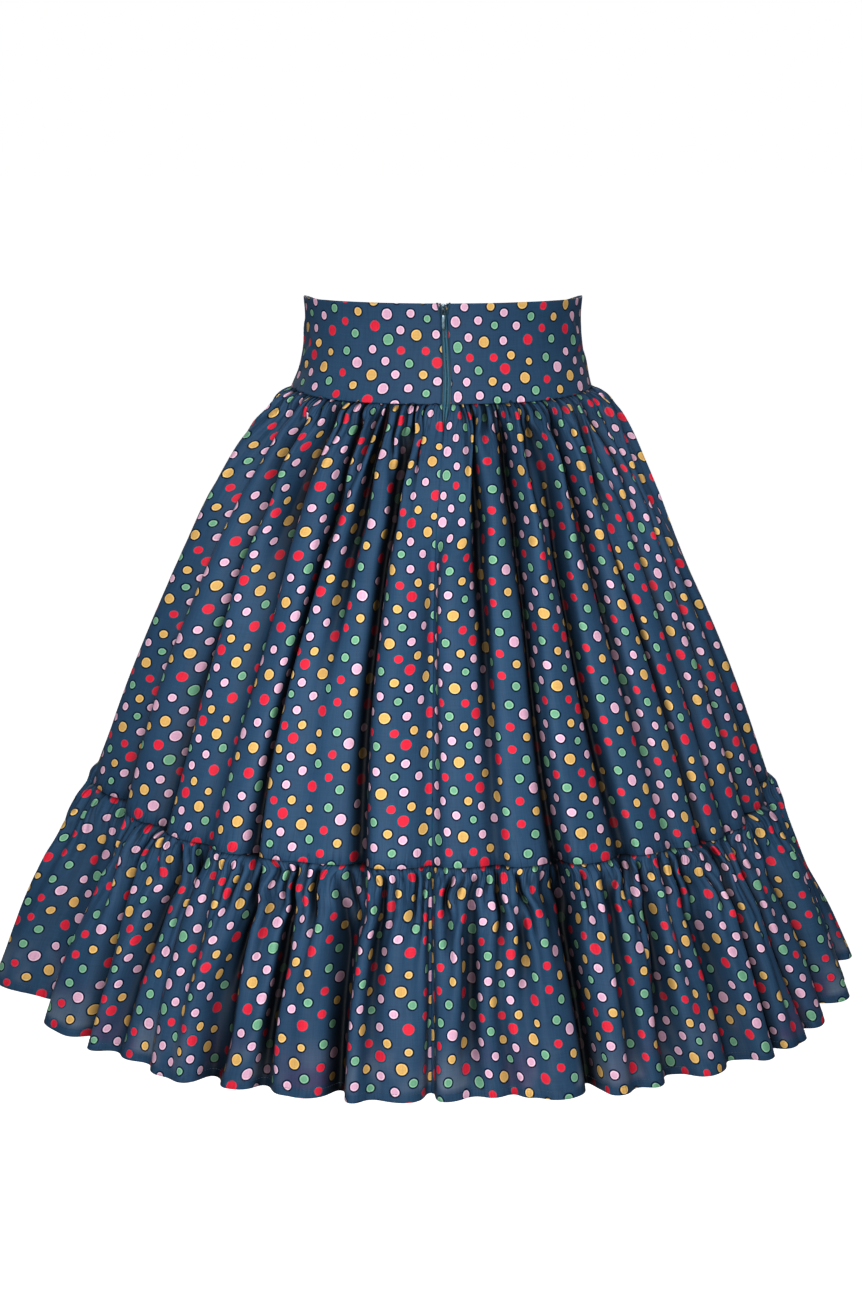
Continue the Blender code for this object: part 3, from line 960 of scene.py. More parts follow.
class Effect:
    """A shader node group that several materials share."""

    NAME = "effect"
    INPUTS: tuple[tuple[str, str, object], ...] = ()
    OUTPUTS: tuple[tuple[str, str], ...] = ()

    def __init__(self) -> None:
        """Makes the group's tree, its sockets and its nodes."""
        self.tree = bpy.data.node_groups.new(self.NAME, "ShaderNodeTree")
        for name, kind, value in self.INPUTS:
            socket = self.tree.interface.new_socket(name=name, in_out="INPUT", socket_type=kind)
            if value is not None:
                socket.default_value = value
        for name, kind in self.OUTPUTS:
            self.tree.interface.new_socket(name=name, in_out="OUTPUT", socket_type=kind)
        self.wires = Wiring(self.tree)
        self.given = self.wires.add("NodeGroupInput").outputs
        self.made = self.wires.add("NodeGroupOutput").inputs
        self.build()

    def build(self) -> None:
        """Adds the nodes that work the effect out."""

    def place(self, wires: Wiring, **values: object) -> bpy.types.NodeOutputs:
        """Puts the group into a material.

        Args:
            wires: The material's wiring.
            **values: What feeds the inputs, with underscores for the spaces in their names.

        Returns:
            The group's outputs.
        """
        node = wires.add("ShaderNodeGroup", node_tree=self.tree)
        for name, value in values.items():
            wires.feed(node.inputs[name.replace("_", " ")], value)
        return node.outputs


class ConfettiPrint(Effect):
    """Printed dots in four colours, each with a dark outline, nudged from a staggered lattice."""

    NAME = "confetti_print"
    INPUTS = (("Place", "NodeSocketVector", None), ("Ground", "NodeSocketColor", None))
    OUTPUTS = (("Colour", "NodeSocketColor"),)
    COLUMNS = 10
    ROWS = 3
    COLUMN_WIDTH = 0.0129
    ROW_HEIGHT = 0.0650 / 3
    FIRST_COLUMN = -0.0049
    NUDGE_RANGE = 16.0
    RADIUS_SCALE = 100.0
    OUTLINE = 0.0013
    RIM = 0.00085
    EDGE = 0.00008
    WOBBLE = 0.00045
    WOBBLE_CLOUDS = 160.0
    OUTLINE_COLOUR = (0.0030, 0.0110, 0.0360)
    RED_OUTLINE_COLOUR = (0.0075, 0.0750, 0.1300)

    def facts(self) -> list[tuple[float, float, float, float]]:
        """The chart's nudges and radii, each squeezed into the range from 0 to 1."""
        return [
            (
                dot.right / self.NUDGE_RANGE + 0.5,
                dot.down / self.NUDGE_RANGE + 0.5,
                dot.size.value / 2 * self.RADIUS_SCALE,
                1.0,
            )
            for dot in DOT_CHART
        ]

    def colours(self, dot: Dot) -> tuple[Colour, Colour, Colour]:
        """One dot's disc, rim and outline."""
        return (*dot.colour.value, self.RED_OUTLINE_COLOUR if dot.colour is RED else self.OUTLINE_COLOUR)

    def candidate(self, across: Socket, down: Socket, column: Socket) -> tuple[Socket, Socket]:
        """Finds the dot of one column that lies nearest.

        Args:
            across: The place along the cloth, in metres.
            down: The place down the cloth, in metres.
            column: The column's number.

        Returns:
            How far outside the dot's edge the place lies, and the dot's place in the chart.
        """
        w = self.wires
        stagger = w.maths("MULTIPLY", w.maths("FLOORED_MODULO", w.maths("ADD", column, 1.0), 2.0), 0.5)
        level = w.maths("SUBTRACT", w.maths("DIVIDE", down, self.ROW_HEIGHT), stagger)
        row = w.maths("ROUND", level)
        in_column = w.maths("MULTIPLY", w.maths("FLOORED_MODULO", column, self.COLUMNS), self.ROWS)
        number = w.maths("ADD", in_column, w.maths("FLOORED_MODULO", row, self.ROWS))
        fraction = w.maths("DIVIDE", w.maths("ADD", number, 0.5), len(DOT_CHART))
        facts = w.add("ShaderNodeSeparateColor")
        w.feed(facts.inputs[0], w.table(fraction, self.facts()))
        nudges = [
            w.maths("MULTIPLY", w.maths("SUBTRACT", fact, 0.5), self.NUDGE_RANGE / 1000)
            for fact in facts.outputs[:2]
        ]
        middle_x = w.maths("MULTIPLY_ADD", column, self.COLUMN_WIDTH, nudges[0])
        middle_y = w.maths("MULTIPLY_ADD", w.maths("ADD", row, stagger), self.ROW_HEIGHT, nudges[1])
        away_x = w.maths("SUBTRACT", across, middle_x)
        away_y = w.maths("SUBTRACT", down, middle_y)
        squares = w.maths("MULTIPLY_ADD", away_x, away_x, w.maths("MULTIPLY", away_y, away_y))
        radius = w.maths("DIVIDE", facts.outputs[2], self.RADIUS_SCALE)
        return w.maths("SUBTRACT", w.maths("SQRT", squares), radius), fraction

    def build(self) -> None:
        """Adds the lattice, the two nearest dots, and the ink of the nearer one."""
        w = self.wires
        axes = w.add("ShaderNodeSeparateXYZ")
        w.feed(axes.inputs[0], self.given["Place"])
        wobble = w.maths("SUBTRACT", w.noise(self.given["Place"], self.WOBBLE_CLOUDS, 1.0), 0.5)
        across = w.maths("MULTIPLY_ADD", wobble, self.WOBBLE * 2, axes.outputs[0])
        across = w.maths("SUBTRACT", across, self.FIRST_COLUMN)
        down = w.maths("MULTIPLY_ADD", wobble, -self.WOBBLE * 2, axes.outputs[1])
        column = w.maths("FLOOR", w.maths("DIVIDE", across, self.COLUMN_WIDTH))
        first, first_fraction = self.candidate(across, down, column)
        second, second_fraction = self.candidate(across, down, w.maths("ADD", column, 1.0))
        nearer = w.maths("LESS_THAN", second, first)
        beyond = w.maths("MINIMUM", first, second)
        fraction = w.choose(nearer, first_fraction, second_fraction)
        inner, rim, outline = (
            w.table(fraction, [(*self.colours(dot)[part], 1.0) for dot in DOT_CHART]) for part in range(3)
        )
        inside = w.ramp(beyond, self.EDGE, -self.EDGE)
        in_rim = w.ramp(beyond, -self.RIM - 2 * self.EDGE, -self.RIM)
        in_outline = w.ramp(beyond, self.OUTLINE + 2 * self.EDGE, self.OUTLINE - self.EDGE)
        ink = w.blend(in_rim, inner, rim)
        around = w.blend(in_outline, self.given["Ground"], outline)
        w.feed(self.made["Colour"], w.blend(inside, around, ink))


class Weave(Effect):
    """A plain weave with uneven threads."""

    NAME = "plain_weave"
    INPUTS = (
        ("Place", "NodeSocketVector", None),
        ("Threads", "NodeSocketFloat", 2800.0),
        ("Slubs", "NodeSocketFloat", 0.5),
    )
    OUTPUTS = (("Height", "NodeSocketFloat"), ("Tone", "NodeSocketFloat"))

    def build(self) -> None:
        """Adds the two sets of threads and the slubs along them."""
        w = self.wires
        axes = w.add("ShaderNodeSeparateXYZ")
        w.feed(axes.inputs[0], self.given["Place"])
        turns = w.maths("MULTIPLY", self.given["Threads"], FULL_TURN / 2)
        warp = w.maths("SINE", w.maths("MULTIPLY", axes.outputs[0], turns))
        weft = w.maths("SINE", w.maths("MULTIPLY", axes.outputs[1], turns))
        cross = w.maths("MULTIPLY", warp, weft)
        long_slubs = w.noise(w.vector("MULTIPLY", self.given["Place"], (1.0, 0.05, 1.0)), 900.0, 2.0)
        cross_slubs = w.noise(w.vector("MULTIPLY", self.given["Place"], (0.06, 1.0, 1.0)), 700.0, 2.0)
        slubs = w.maths("ADD", w.maths("MULTIPLY", long_slubs, 0.6), w.maths("MULTIPLY", cross_slubs, 0.4))
        raised = w.maths("MULTIPLY", w.maths("SUBTRACT", slubs, 0.5), self.given["Slubs"])
        w.feed(self.made["Height"], w.maths("MULTIPLY_ADD", cross, 0.5, raised))
        w.feed(self.made["Tone"], slubs)


class SmallCreases(Effect):
    """Fine creases that run down from gathered stitches, with painted shade along their valleys, and a soft
    handled unevenness.
    """

    NAME = "small_creases"
    INPUTS = (
        ("Place", "NodeSocketVector", None),
        ("Gathered", "NodeSocketFloat", 0.0),
    )
    OUTPUTS = (("Height", "NodeSocketFloat"), ("Shade", "NodeSocketFloat"))
    STRETCH = (1.0, 0.11, 1.0)
    BEND = (0.006, 0.0, 0.0)
    BENDS = 22.0
    CREASES = 150.0
    BROAD_CLOUDS = 34.0
    BROAD_SHARE = 0.35
    LINE_REACH = 0.045
    PAINTED_LINE_SHADE = 0.75

    def build(self) -> None:
        """Adds the long creases, sharp in their valleys, the painted shade along those valleys, and the broad
        unevenness.
        """
        w = self.wires
        stretched = w.vector("MULTIPLY", self.given["Place"], self.STRETCH)
        bend = w.noise(self.given["Place"], self.BENDS, 1.0)
        bent = w.vector("ADD", stretched, w.vector("MULTIPLY", self.BEND, bend))
        long_creases = w.noise(bent, self.CREASES, 1.5)
        broad = w.noise(self.given["Place"], self.BROAD_CLOUDS)
        rise = w.maths("ABSOLUTE", w.maths("SUBTRACT", long_creases, 0.5))
        strong = w.maths("MULTIPLY", rise, self.given["Gathered"])
        soft = w.maths("MULTIPLY", w.maths("SUBTRACT", broad, 0.5), self.BROAD_SHARE)
        w.feed(self.made["Height"], w.maths("ADD", strong, soft))
        # Painted shade: dark lines along the creases' valleys where the cloth is gathered.
        dark = w.maths("MULTIPLY", w.ramp(rise, self.LINE_REACH, 0.0), self.given["Gathered"])
        w.feed(self.made["Shade"], w.maths("SUBTRACT", 1.0, w.maths("MULTIPLY", dark, self.PAINTED_LINE_SHADE)))


class Effects:
    """The effects that the materials share, each built once."""

    def __init__(self) -> None:
        """Builds the three groups."""
        self.confetti = ConfettiPrint()
        self.weave = Weave()
        self.creases = SmallCreases()


class Finish:
    """A material in the making: its shader and its wiring."""

    def __init__(self, name: str) -> None:
        """Starts a material with one shader.

        Args:
            name: The material's name.
        """
        self.material = bpy.data.materials.new(name)
        self.material.use_nodes = True
        self.wires = Wiring(self.material.node_tree)
        self.shader = self.material.node_tree.nodes["Principled BSDF"]

    def set(self, **values: object) -> None:
        """Sets or joins the shader's inputs.

        Args:
            **values: Values or sockets, with underscores for the spaces in the inputs' names.
        """
        for name, value in values.items():
            if isinstance(value, tuple) and len(value) == 3:
                value = (*value, 1.0)
            self.wires.feed(self.shader.inputs[name.replace("_", " ")], value)

    def cloth_place(self) -> Socket:
        """The place on the flat cloth, in metres."""
        return self.wires.add("ShaderNodeUVMap", uv_map=CLOTH_MAP).outputs[0]

    def object_place(self) -> Socket:
        """The place in the object, in metres."""
        return self.wires.add("ShaderNodeTexCoord").outputs["Object"]

    def attribute(self, name: str) -> Socket:
        """A number that the mesh carries at each point."""
        return self.wires.add("ShaderNodeAttribute", attribute_name=name).outputs["Fac"]

    def bump(self, height: object, depth: float, strength: float = 1.0, below: object = None) -> Socket:
        """Raises the surface's shading.

        Args:
            height: The height, as a socket.
            depth: The height of one unit, in metres.
            strength: How strongly it shows.
            below: The normal that it stands on.

        Returns:
            The new normal.
        """
        node = self.wires.add("ShaderNodeBump")
        self.wires.feed(node.inputs["Height"], height)
        self.wires.feed(node.inputs["Distance"], depth)
        self.wires.feed(node.inputs["Strength"], strength)
        self.wires.feed(node.inputs["Normal"], below)
        return node.outputs["Normal"]


@dataclass(frozen=True)
class DottedCotton:
    """Smooth petrol-blue cotton with printed dots, with painted light in patches just above the hem, as if
    shining through the thin cloth, and painted shade in folds and creases.
    """

    name: str = "dotted_cotton"
    ground: Colour = (0.0250, 0.0650, 0.1300)
    deep_ground: Colour = (0.0200, 0.0550, 0.1120)
    # Colours of the painted light through the thin cloth near the hem.
    painted_through_light_tint: Colour = (0.1250, 0.1650, 0.2300)
    painted_through_plum_tint: Colour = (0.0620, 0.0420, 0.1050)
    roughness: float = 0.52
    specular: float = 0.06
    sheen: float = 0.006
    sheen_tint: Colour = (0.55, 0.68, 0.85)
    tone: float = 1.0
    threads: float = 2800.0
    # Painted shade in folds: where it starts and ends on the openness attribute, and how dark it gets.
    closed_at: float = 0.10
    open_at: float = 0.70
    darkest_painted_shade: float = 0.02
    painted_through_strength: float = 0.9
    crease_depth: float = 0.0034
    weave_depth: float = 0.00006

    def material(self, effects: Effects) -> bpy.types.Material:
        """Builds the cloth's material.

        Args:
            effects: The shared effects.

        Returns:
            The material.
        """
        made = Finish(self.name)
        w = made.wires
        place = made.cloth_place()
        clouds = w.ramp(w.noise(place, 9.0, 2.0), 0.30, 0.70)
        ground = w.blend(clouds, self.deep_ground, self.ground)
        # Painted light: near the hem, patches of greyish-blue or plum painted light, as if shining through
        # the thin cloth.
        near_hem = made.attribute(HEM)
        patches = w.ramp(w.noise(w.vector("MULTIPLY", place, (1.0, 0.4, 1.0)), 26.0, 2.0), 0.40, 0.56)
        thin = w.maths("MULTIPLY", w.maths("MULTIPLY", near_hem, patches), self.painted_through_strength)
        plum = w.ramp(w.noise(place, 11.0, 1.0), 0.45, 0.60)
        ground = w.blend(thin, ground, w.blend(plum, self.painted_through_light_tint, self.painted_through_plum_tint))
        print_ = effects.confetti.place(w, Place=place, Ground=ground)
        weave = effects.weave.place(w, Place=place, Threads=self.threads, Slubs=0.8)
        shade = w.ramp(weave["Tone"], 0.25, 0.75, 0.88 * self.tone, 1.10 * self.tone)
        # Painted shade: the colour darkens in closed folds by the openness attribute, which also holds each
        # row's painted light and shade.
        light = w.ramp(made.attribute(OPENNESS), self.closed_at, self.open_at, self.darkest_painted_shade, 1.0)
        shade = w.maths("MULTIPLY", shade, light)
        creases = effects.creases.place(w, Place=place, Gathered=made.attribute(PUCKER))
        # The creases' painted shade darkens the colour as well.
        colour = w.scaled(print_["Colour"], w.maths("MULTIPLY", shade, creases["Shade"]))
        normal = made.bump(creases["Height"], self.crease_depth)
        normal = made.bump(weave["Height"], self.weave_depth, 0.6, normal)
        roughness = w.ramp(weave["Tone"], 0.2, 0.8, self.roughness - 0.06, self.roughness + 0.08)
        made.set(Base_Color=colour, Roughness=roughness, Normal=normal)
        made.set(Specular_IOR_Level=self.specular, Sheen_Weight=self.sheen, Sheen_Roughness=0.45)
        made.set(Sheen_Tint=self.sheen_tint)
        return made.material


@dataclass(frozen=True)
class ZipTape:
    """Teal woven zip tape with fine ribs along it, darkened by painted shadow where the cloth's edges lie
    over it.
    """

    name: str = "teal_tape"
    colour: Colour = (0.0180, 0.1150, 0.1800)
    dark: Colour = (0.0100, 0.0680, 0.1120)
    ribs: float = 1500.0
    threads: float = 2200.0
    darkest_painted_shade: float = 0.12

    def material(self, effects: Effects) -> bpy.types.Material:
        """Builds the tape's material.

        Args:
            effects: The shared effects.

        Returns:
            The material.
        """
        made = Finish(self.name)
        w = made.wires
        place = made.cloth_place()
        axes = w.add("ShaderNodeSeparateXYZ")
        w.feed(axes.inputs[0], place)
        ribs = w.maths("SINE", w.maths("MULTIPLY", axes.outputs[0], self.ribs * FULL_TURN))
        weave = effects.weave.place(w, Place=place, Threads=self.threads, Slubs=0.8)
        tone = w.ramp(w.maths("MULTIPLY_ADD", ribs, 0.12, weave["Tone"]), 0.2, 0.8)
        height = w.maths("MULTIPLY_ADD", ribs, 0.5, weave["Height"])
        # Painted shadow: the tape darkens where the cloth's edges lie over it, by the openness attribute.
        shade = w.ramp(made.attribute(OPENNESS), 0.0, 1.0, self.darkest_painted_shade, 1.0)
        made.set(Base_Color=w.scaled(w.blend(tone, self.dark, self.colour), shade))
        made.set(Roughness=w.ramp(weave["Tone"], 0.2, 0.8, 0.45, 0.62))
        made.set(Normal=made.bump(height, 0.00008, 0.8), Specular_IOR_Level=0.4)
        made.set(Sheen_Weight=0.12, Sheen_Roughness=0.4, Sheen_Tint=(0.6, 0.85, 0.9))
        return made.material


@dataclass(frozen=True)
class CoilNylon:
    """The zip's dark nylon coil."""

    name: str = "zip_coil"
    colour: Colour = (0.0070, 0.0330, 0.0500)

    def material(self) -> bpy.types.Material:
        """Builds the coil's material."""
        made = Finish(self.name)
        w = made.wires
        place = made.object_place()
        tone = w.ramp(w.noise(place, 900.0, 2.0), 0.3, 0.7)
        lighter = tuple(channel * 1.9 for channel in self.colour)
        made.set(Base_Color=w.blend(tone, self.colour, lighter))
        made.set(Roughness=w.ramp(tone, 0.0, 1.0, 0.45, 0.60), Specular_IOR_Level=0.25)
        made.set(Normal=made.bump(tone, 0.00003, 0.5))
        return made.material


@dataclass(frozen=True)
class PaintedMetal:
    """Die-cast metal in satin petrol-blue paint, lighter down the tab's middle, with painted glints at the
    height of the tab's eye, and fine scratches.
    """

    name: str = "painted_metal"
    paint: Colour = (0.0120, 0.0380, 0.0560)
    # The colour of the lighter middle and of the painted glints.
    light_middle_and_painted_glint: Colour = (0.0850, 0.1500, 0.1850)
    bare: Colour = (0.4500, 0.5200, 0.5600)
    light_middle_half_width: float = 0.0014
    light_middle_below: float = 0.0205
    eye_height: float = 0.0232

    def material(self) -> bpy.types.Material:
        """Builds the metal's material."""
        made = Finish(self.name)
        w = made.wires
        place = made.object_place()
        geometry = w.add("ShaderNodeNewGeometry")
        edges = w.ramp(geometry.outputs["Pointiness"], 0.53, 0.62)
        flaws = w.ramp(w.noise(place, 1500.0, 3.0, 0.65), 0.45, 0.70)
        wear = w.maths("MULTIPLY", edges, flaws)
        scratches = w.noise(w.vector("MULTIPLY", place, (1.0, 1.0, 0.12)), 2600.0, 2.0)
        cloudy = w.ramp(w.noise(place, 420.0, 2.0), 0.3, 0.7)
        darker = tuple(channel * 0.6 for channel in self.light_middle_and_painted_glint)
        axes = w.add("ShaderNodeSeparateXYZ")
        w.feed(axes.inputs[0], place)
        from_middle = w.maths("ABSOLUTE", axes.outputs[0])
        # Lighter down the tab's middle, below its eye.
        in_middle = w.ramp(from_middle, self.light_middle_half_width, self.light_middle_half_width * 0.6)
        on_tab = w.ramp(axes.outputs[2], self.light_middle_below + 0.0006, self.light_middle_below)
        # Painted highlight: small glints on each side at the height of the tab's eye.
        from_eye = w.maths("ABSOLUTE", w.maths("SUBTRACT", axes.outputs[2], self.eye_height))
        painted_eye_glint = w.maths("MULTIPLY", w.ramp(from_eye, 0.0016, 0.0008), w.ramp(from_middle, 0.0009, 0.0013))
        light_middle_and_painted_glint = w.maths("MAXIMUM", w.maths("MULTIPLY", in_middle, on_tab), painted_eye_glint)
        colour = w.blend(light_middle_and_painted_glint, self.paint, w.blend(cloudy, darker, self.light_middle_and_painted_glint))
        made.set(Base_Color=w.blend(wear, colour, self.bare))
        made.set(Metallic=w.maths("MULTIPLY_ADD", wear, 0.35, 0.60))
        made.set(Roughness=w.ramp(scratches, 0.2, 0.8, 0.20, 0.36))
        made.set(Coat_Weight=w.maths("SUBTRACT", 0.5, w.maths("MULTIPLY", wear, 0.5)))
        made.set(Coat_Roughness=0.18, Normal=made.bump(scratches, 0.00003, 0.4))
        return made.material


@dataclass(frozen=True)
class SewingThread:
    """Twisted dark-blue sewing thread."""

    name: str = "sewing_thread"
    colour: Colour = (0.0045, 0.0130, 0.0260)
    twists: float = 2400.0

    def material(self) -> bpy.types.Material:
        """Builds the thread's material."""
        made = Finish(self.name)
        w = made.wires
        axes = w.add("ShaderNodeSeparateXYZ")
        w.feed(axes.inputs[0], made.object_place())
        lengthways = w.maths("ADD", axes.outputs[0], w.maths("ADD", axes.outputs[1], axes.outputs[2]))
        twist = w.maths("SINE", w.maths("MULTIPLY", lengthways, self.twists * FULL_TURN))
        tone = w.ramp(twist, -1.0, 1.0)
        lighter = tuple(channel * 2.2 for channel in self.colour)
        made.set(Base_Color=w.blend(tone, self.colour, lighter), Roughness=w.ramp(twist, -1, 1, 0.5, 0.7))
        made.set(Normal=made.bump(twist, 0.00005, 0.7), Specular_IOR_Level=0.3, Sheen_Weight=0.1)
        return made.material


@dataclass(frozen=True)
class PaleFloor:
    """A plain pale studio floor."""

    name: str = "pale_floor"
    colour: Colour = (0.90, 0.90, 0.905)
    glow: float = 1.10

    def material(self) -> bpy.types.Material:
        """Builds the floor's material."""
        made = Finish(self.name)
        w = made.wires
        clouds = w.ramp(w.noise(made.object_place(), 0.7, 2.0), 0.2, 0.8)
        shaded = tuple(channel * 0.99 for channel in self.colour)
        made.set(Base_Color=w.blend(clouds, shaded, self.colour), Roughness=0.85, Specular_IOR_Level=0.1)
        seen = w.add("ShaderNodeLightPath").outputs["Is Camera Ray"]
        made.set(Emission_Color=self.colour, Emission_Strength=w.maths("MULTIPLY", seen, self.glow))
        return made.material


@dataclass
class Finishes:
    """Every material of the skirt, built once."""

    effects: Effects = field(default_factory=Effects)

    def __post_init__(self) -> None:
        """Builds the materials."""
        self.cotton = DottedCotton().material(self.effects)
        self.cotton_inside = DottedCotton(name="dotted_cotton_inside", tone=0.82).material(self.effects)
        self.tape = ZipTape().material(self.effects)
        self.coil = CoilNylon().material()
        self.metal = PaintedMetal().material()
        self.thread = SewingThread().material()
        self.floor = PaleFloor().material()


def new_object(name: str, mesh: bpy.types.Mesh, materials: list[bpy.types.Material]) -> bpy.types.Object:
    """Makes a smooth-shaded object at the origin.

    Args:
        name: The piece's name.
        mesh: Its mesh.
        materials: Its materials, in slot order.

    Returns:
        The object.
    """
    for material in materials:
        mesh.materials.append(material)
    mesh.shade_smooth()
    made = bpy.data.objects.new(name, mesh)
    bpy.context.scene.collection.objects.link(made)
    return made


def log_piece(piece: bpy.types.Object) -> None:
    """Reports one finished piece."""
    LOG.info("%s: %d points", piece.name, len(piece.data.vertices))


def lengths_down(points: Array) -> Array:
    """How far down the cloth each row of a grid lies, along the mean of its columns."""
    steps = np.linalg.norm(np.diff(points, axis=0), axis=2).mean(axis=1)
    return np.concatenate([[0.0], np.cumsum(steps)])


def panel_shares(panel: Panel, columns: int) -> Array:
    """Even shares round the cloth, from where a panel starts to where it ends."""
    return np.linspace(panel.start, panel.end, round(columns * (panel.end - panel.start)) + 1)


@dataclass
class ClothGrid:
    """A grid of cloth points, with each one's place on the flat cloth and what the finish reads there."""

    points: Array
    across: Array
    down: Array
    pucker: Array
    near_hem: Array
    # Painted light and shade for each row, or painted shadow across a zip tape; the openness is multiplied by
    # it.
    tucked: Array
    reach: int = 6

    def openness(self) -> Array:
        """How open each point is to the light between the folds beside it, times the row's painted light and
        shade in tucked; the finishes paint shade into the colour by it.

        Returns:
            A number for each point, from 0 deep in a closed fold to 1 on a ridge.
        """
        flat = self.points[:, :, :2]
        place = np.arange(flat.shape[1])
        last = len(place) - 1
        ahead = flat[:, np.minimum(place + self.reach, last)] - flat[:, np.maximum(place - self.reach, 0)]
        ahead = ahead / np.maximum(np.linalg.norm(ahead, axis=2), 1e-9)[..., None]
        out = np.stack([ahead[..., 1], -ahead[..., 0]], axis=-1)
        hidden = np.zeros(flat.shape[:2])
        for direction in (1, -1):
            steepest = np.zeros(flat.shape[:2])
            for step in range(1, self.reach + 1):
                other = flat[:, np.clip(place + direction * step, 0, last)] - flat
                rise = (other * out).sum(axis=2)
                run = (other * ahead).sum(axis=2) * direction
                slope = np.where(run < 0, rise > 0, rise / np.maximum(np.hypot(rise, run), 1e-5))
                steepest = np.maximum(steepest, slope)
            hidden = hidden + steepest / 2
        return (1 - hidden) * self.tucked

    def mesh(self, name: str) -> bpy.types.Mesh:
        """Turns the grid into a mesh with the cloth's map and attributes.

        Args:
            name: The mesh's name.

        Returns:
            The mesh, facing outward.
        """
        rows, columns = self.points.shape[:2]
        corner = np.arange(rows * columns).reshape(rows, columns)
        faces = np.stack([corner[:-1, :-1], corner[1:, :-1], corner[1:, 1:], corner[:-1, 1:]], axis=-1)
        faces = faces.reshape(-1, 4)
        mesh = bpy.data.meshes.new(name)
        mesh.from_pydata(self.points.reshape(-1, 3).tolist(), [], faces.tolist())
        places = np.stack([self.across.ravel(), self.down.ravel()], axis=1)[faces.ravel()]
        layer = mesh.uv_layers.new(name=CLOTH_MAP)
        layer.data.foreach_set("uv", places.astype(np.float32).ravel())
        for label, values in ((PUCKER, self.pucker), (HEM, self.near_hem), (OPENNESS, self.openness())):
            attribute = mesh.attributes.new(label, "FLOAT", "POINT")
            attribute.data.foreach_set("value", values.astype(np.float32).ravel())
        mesh.update()
        return mesh


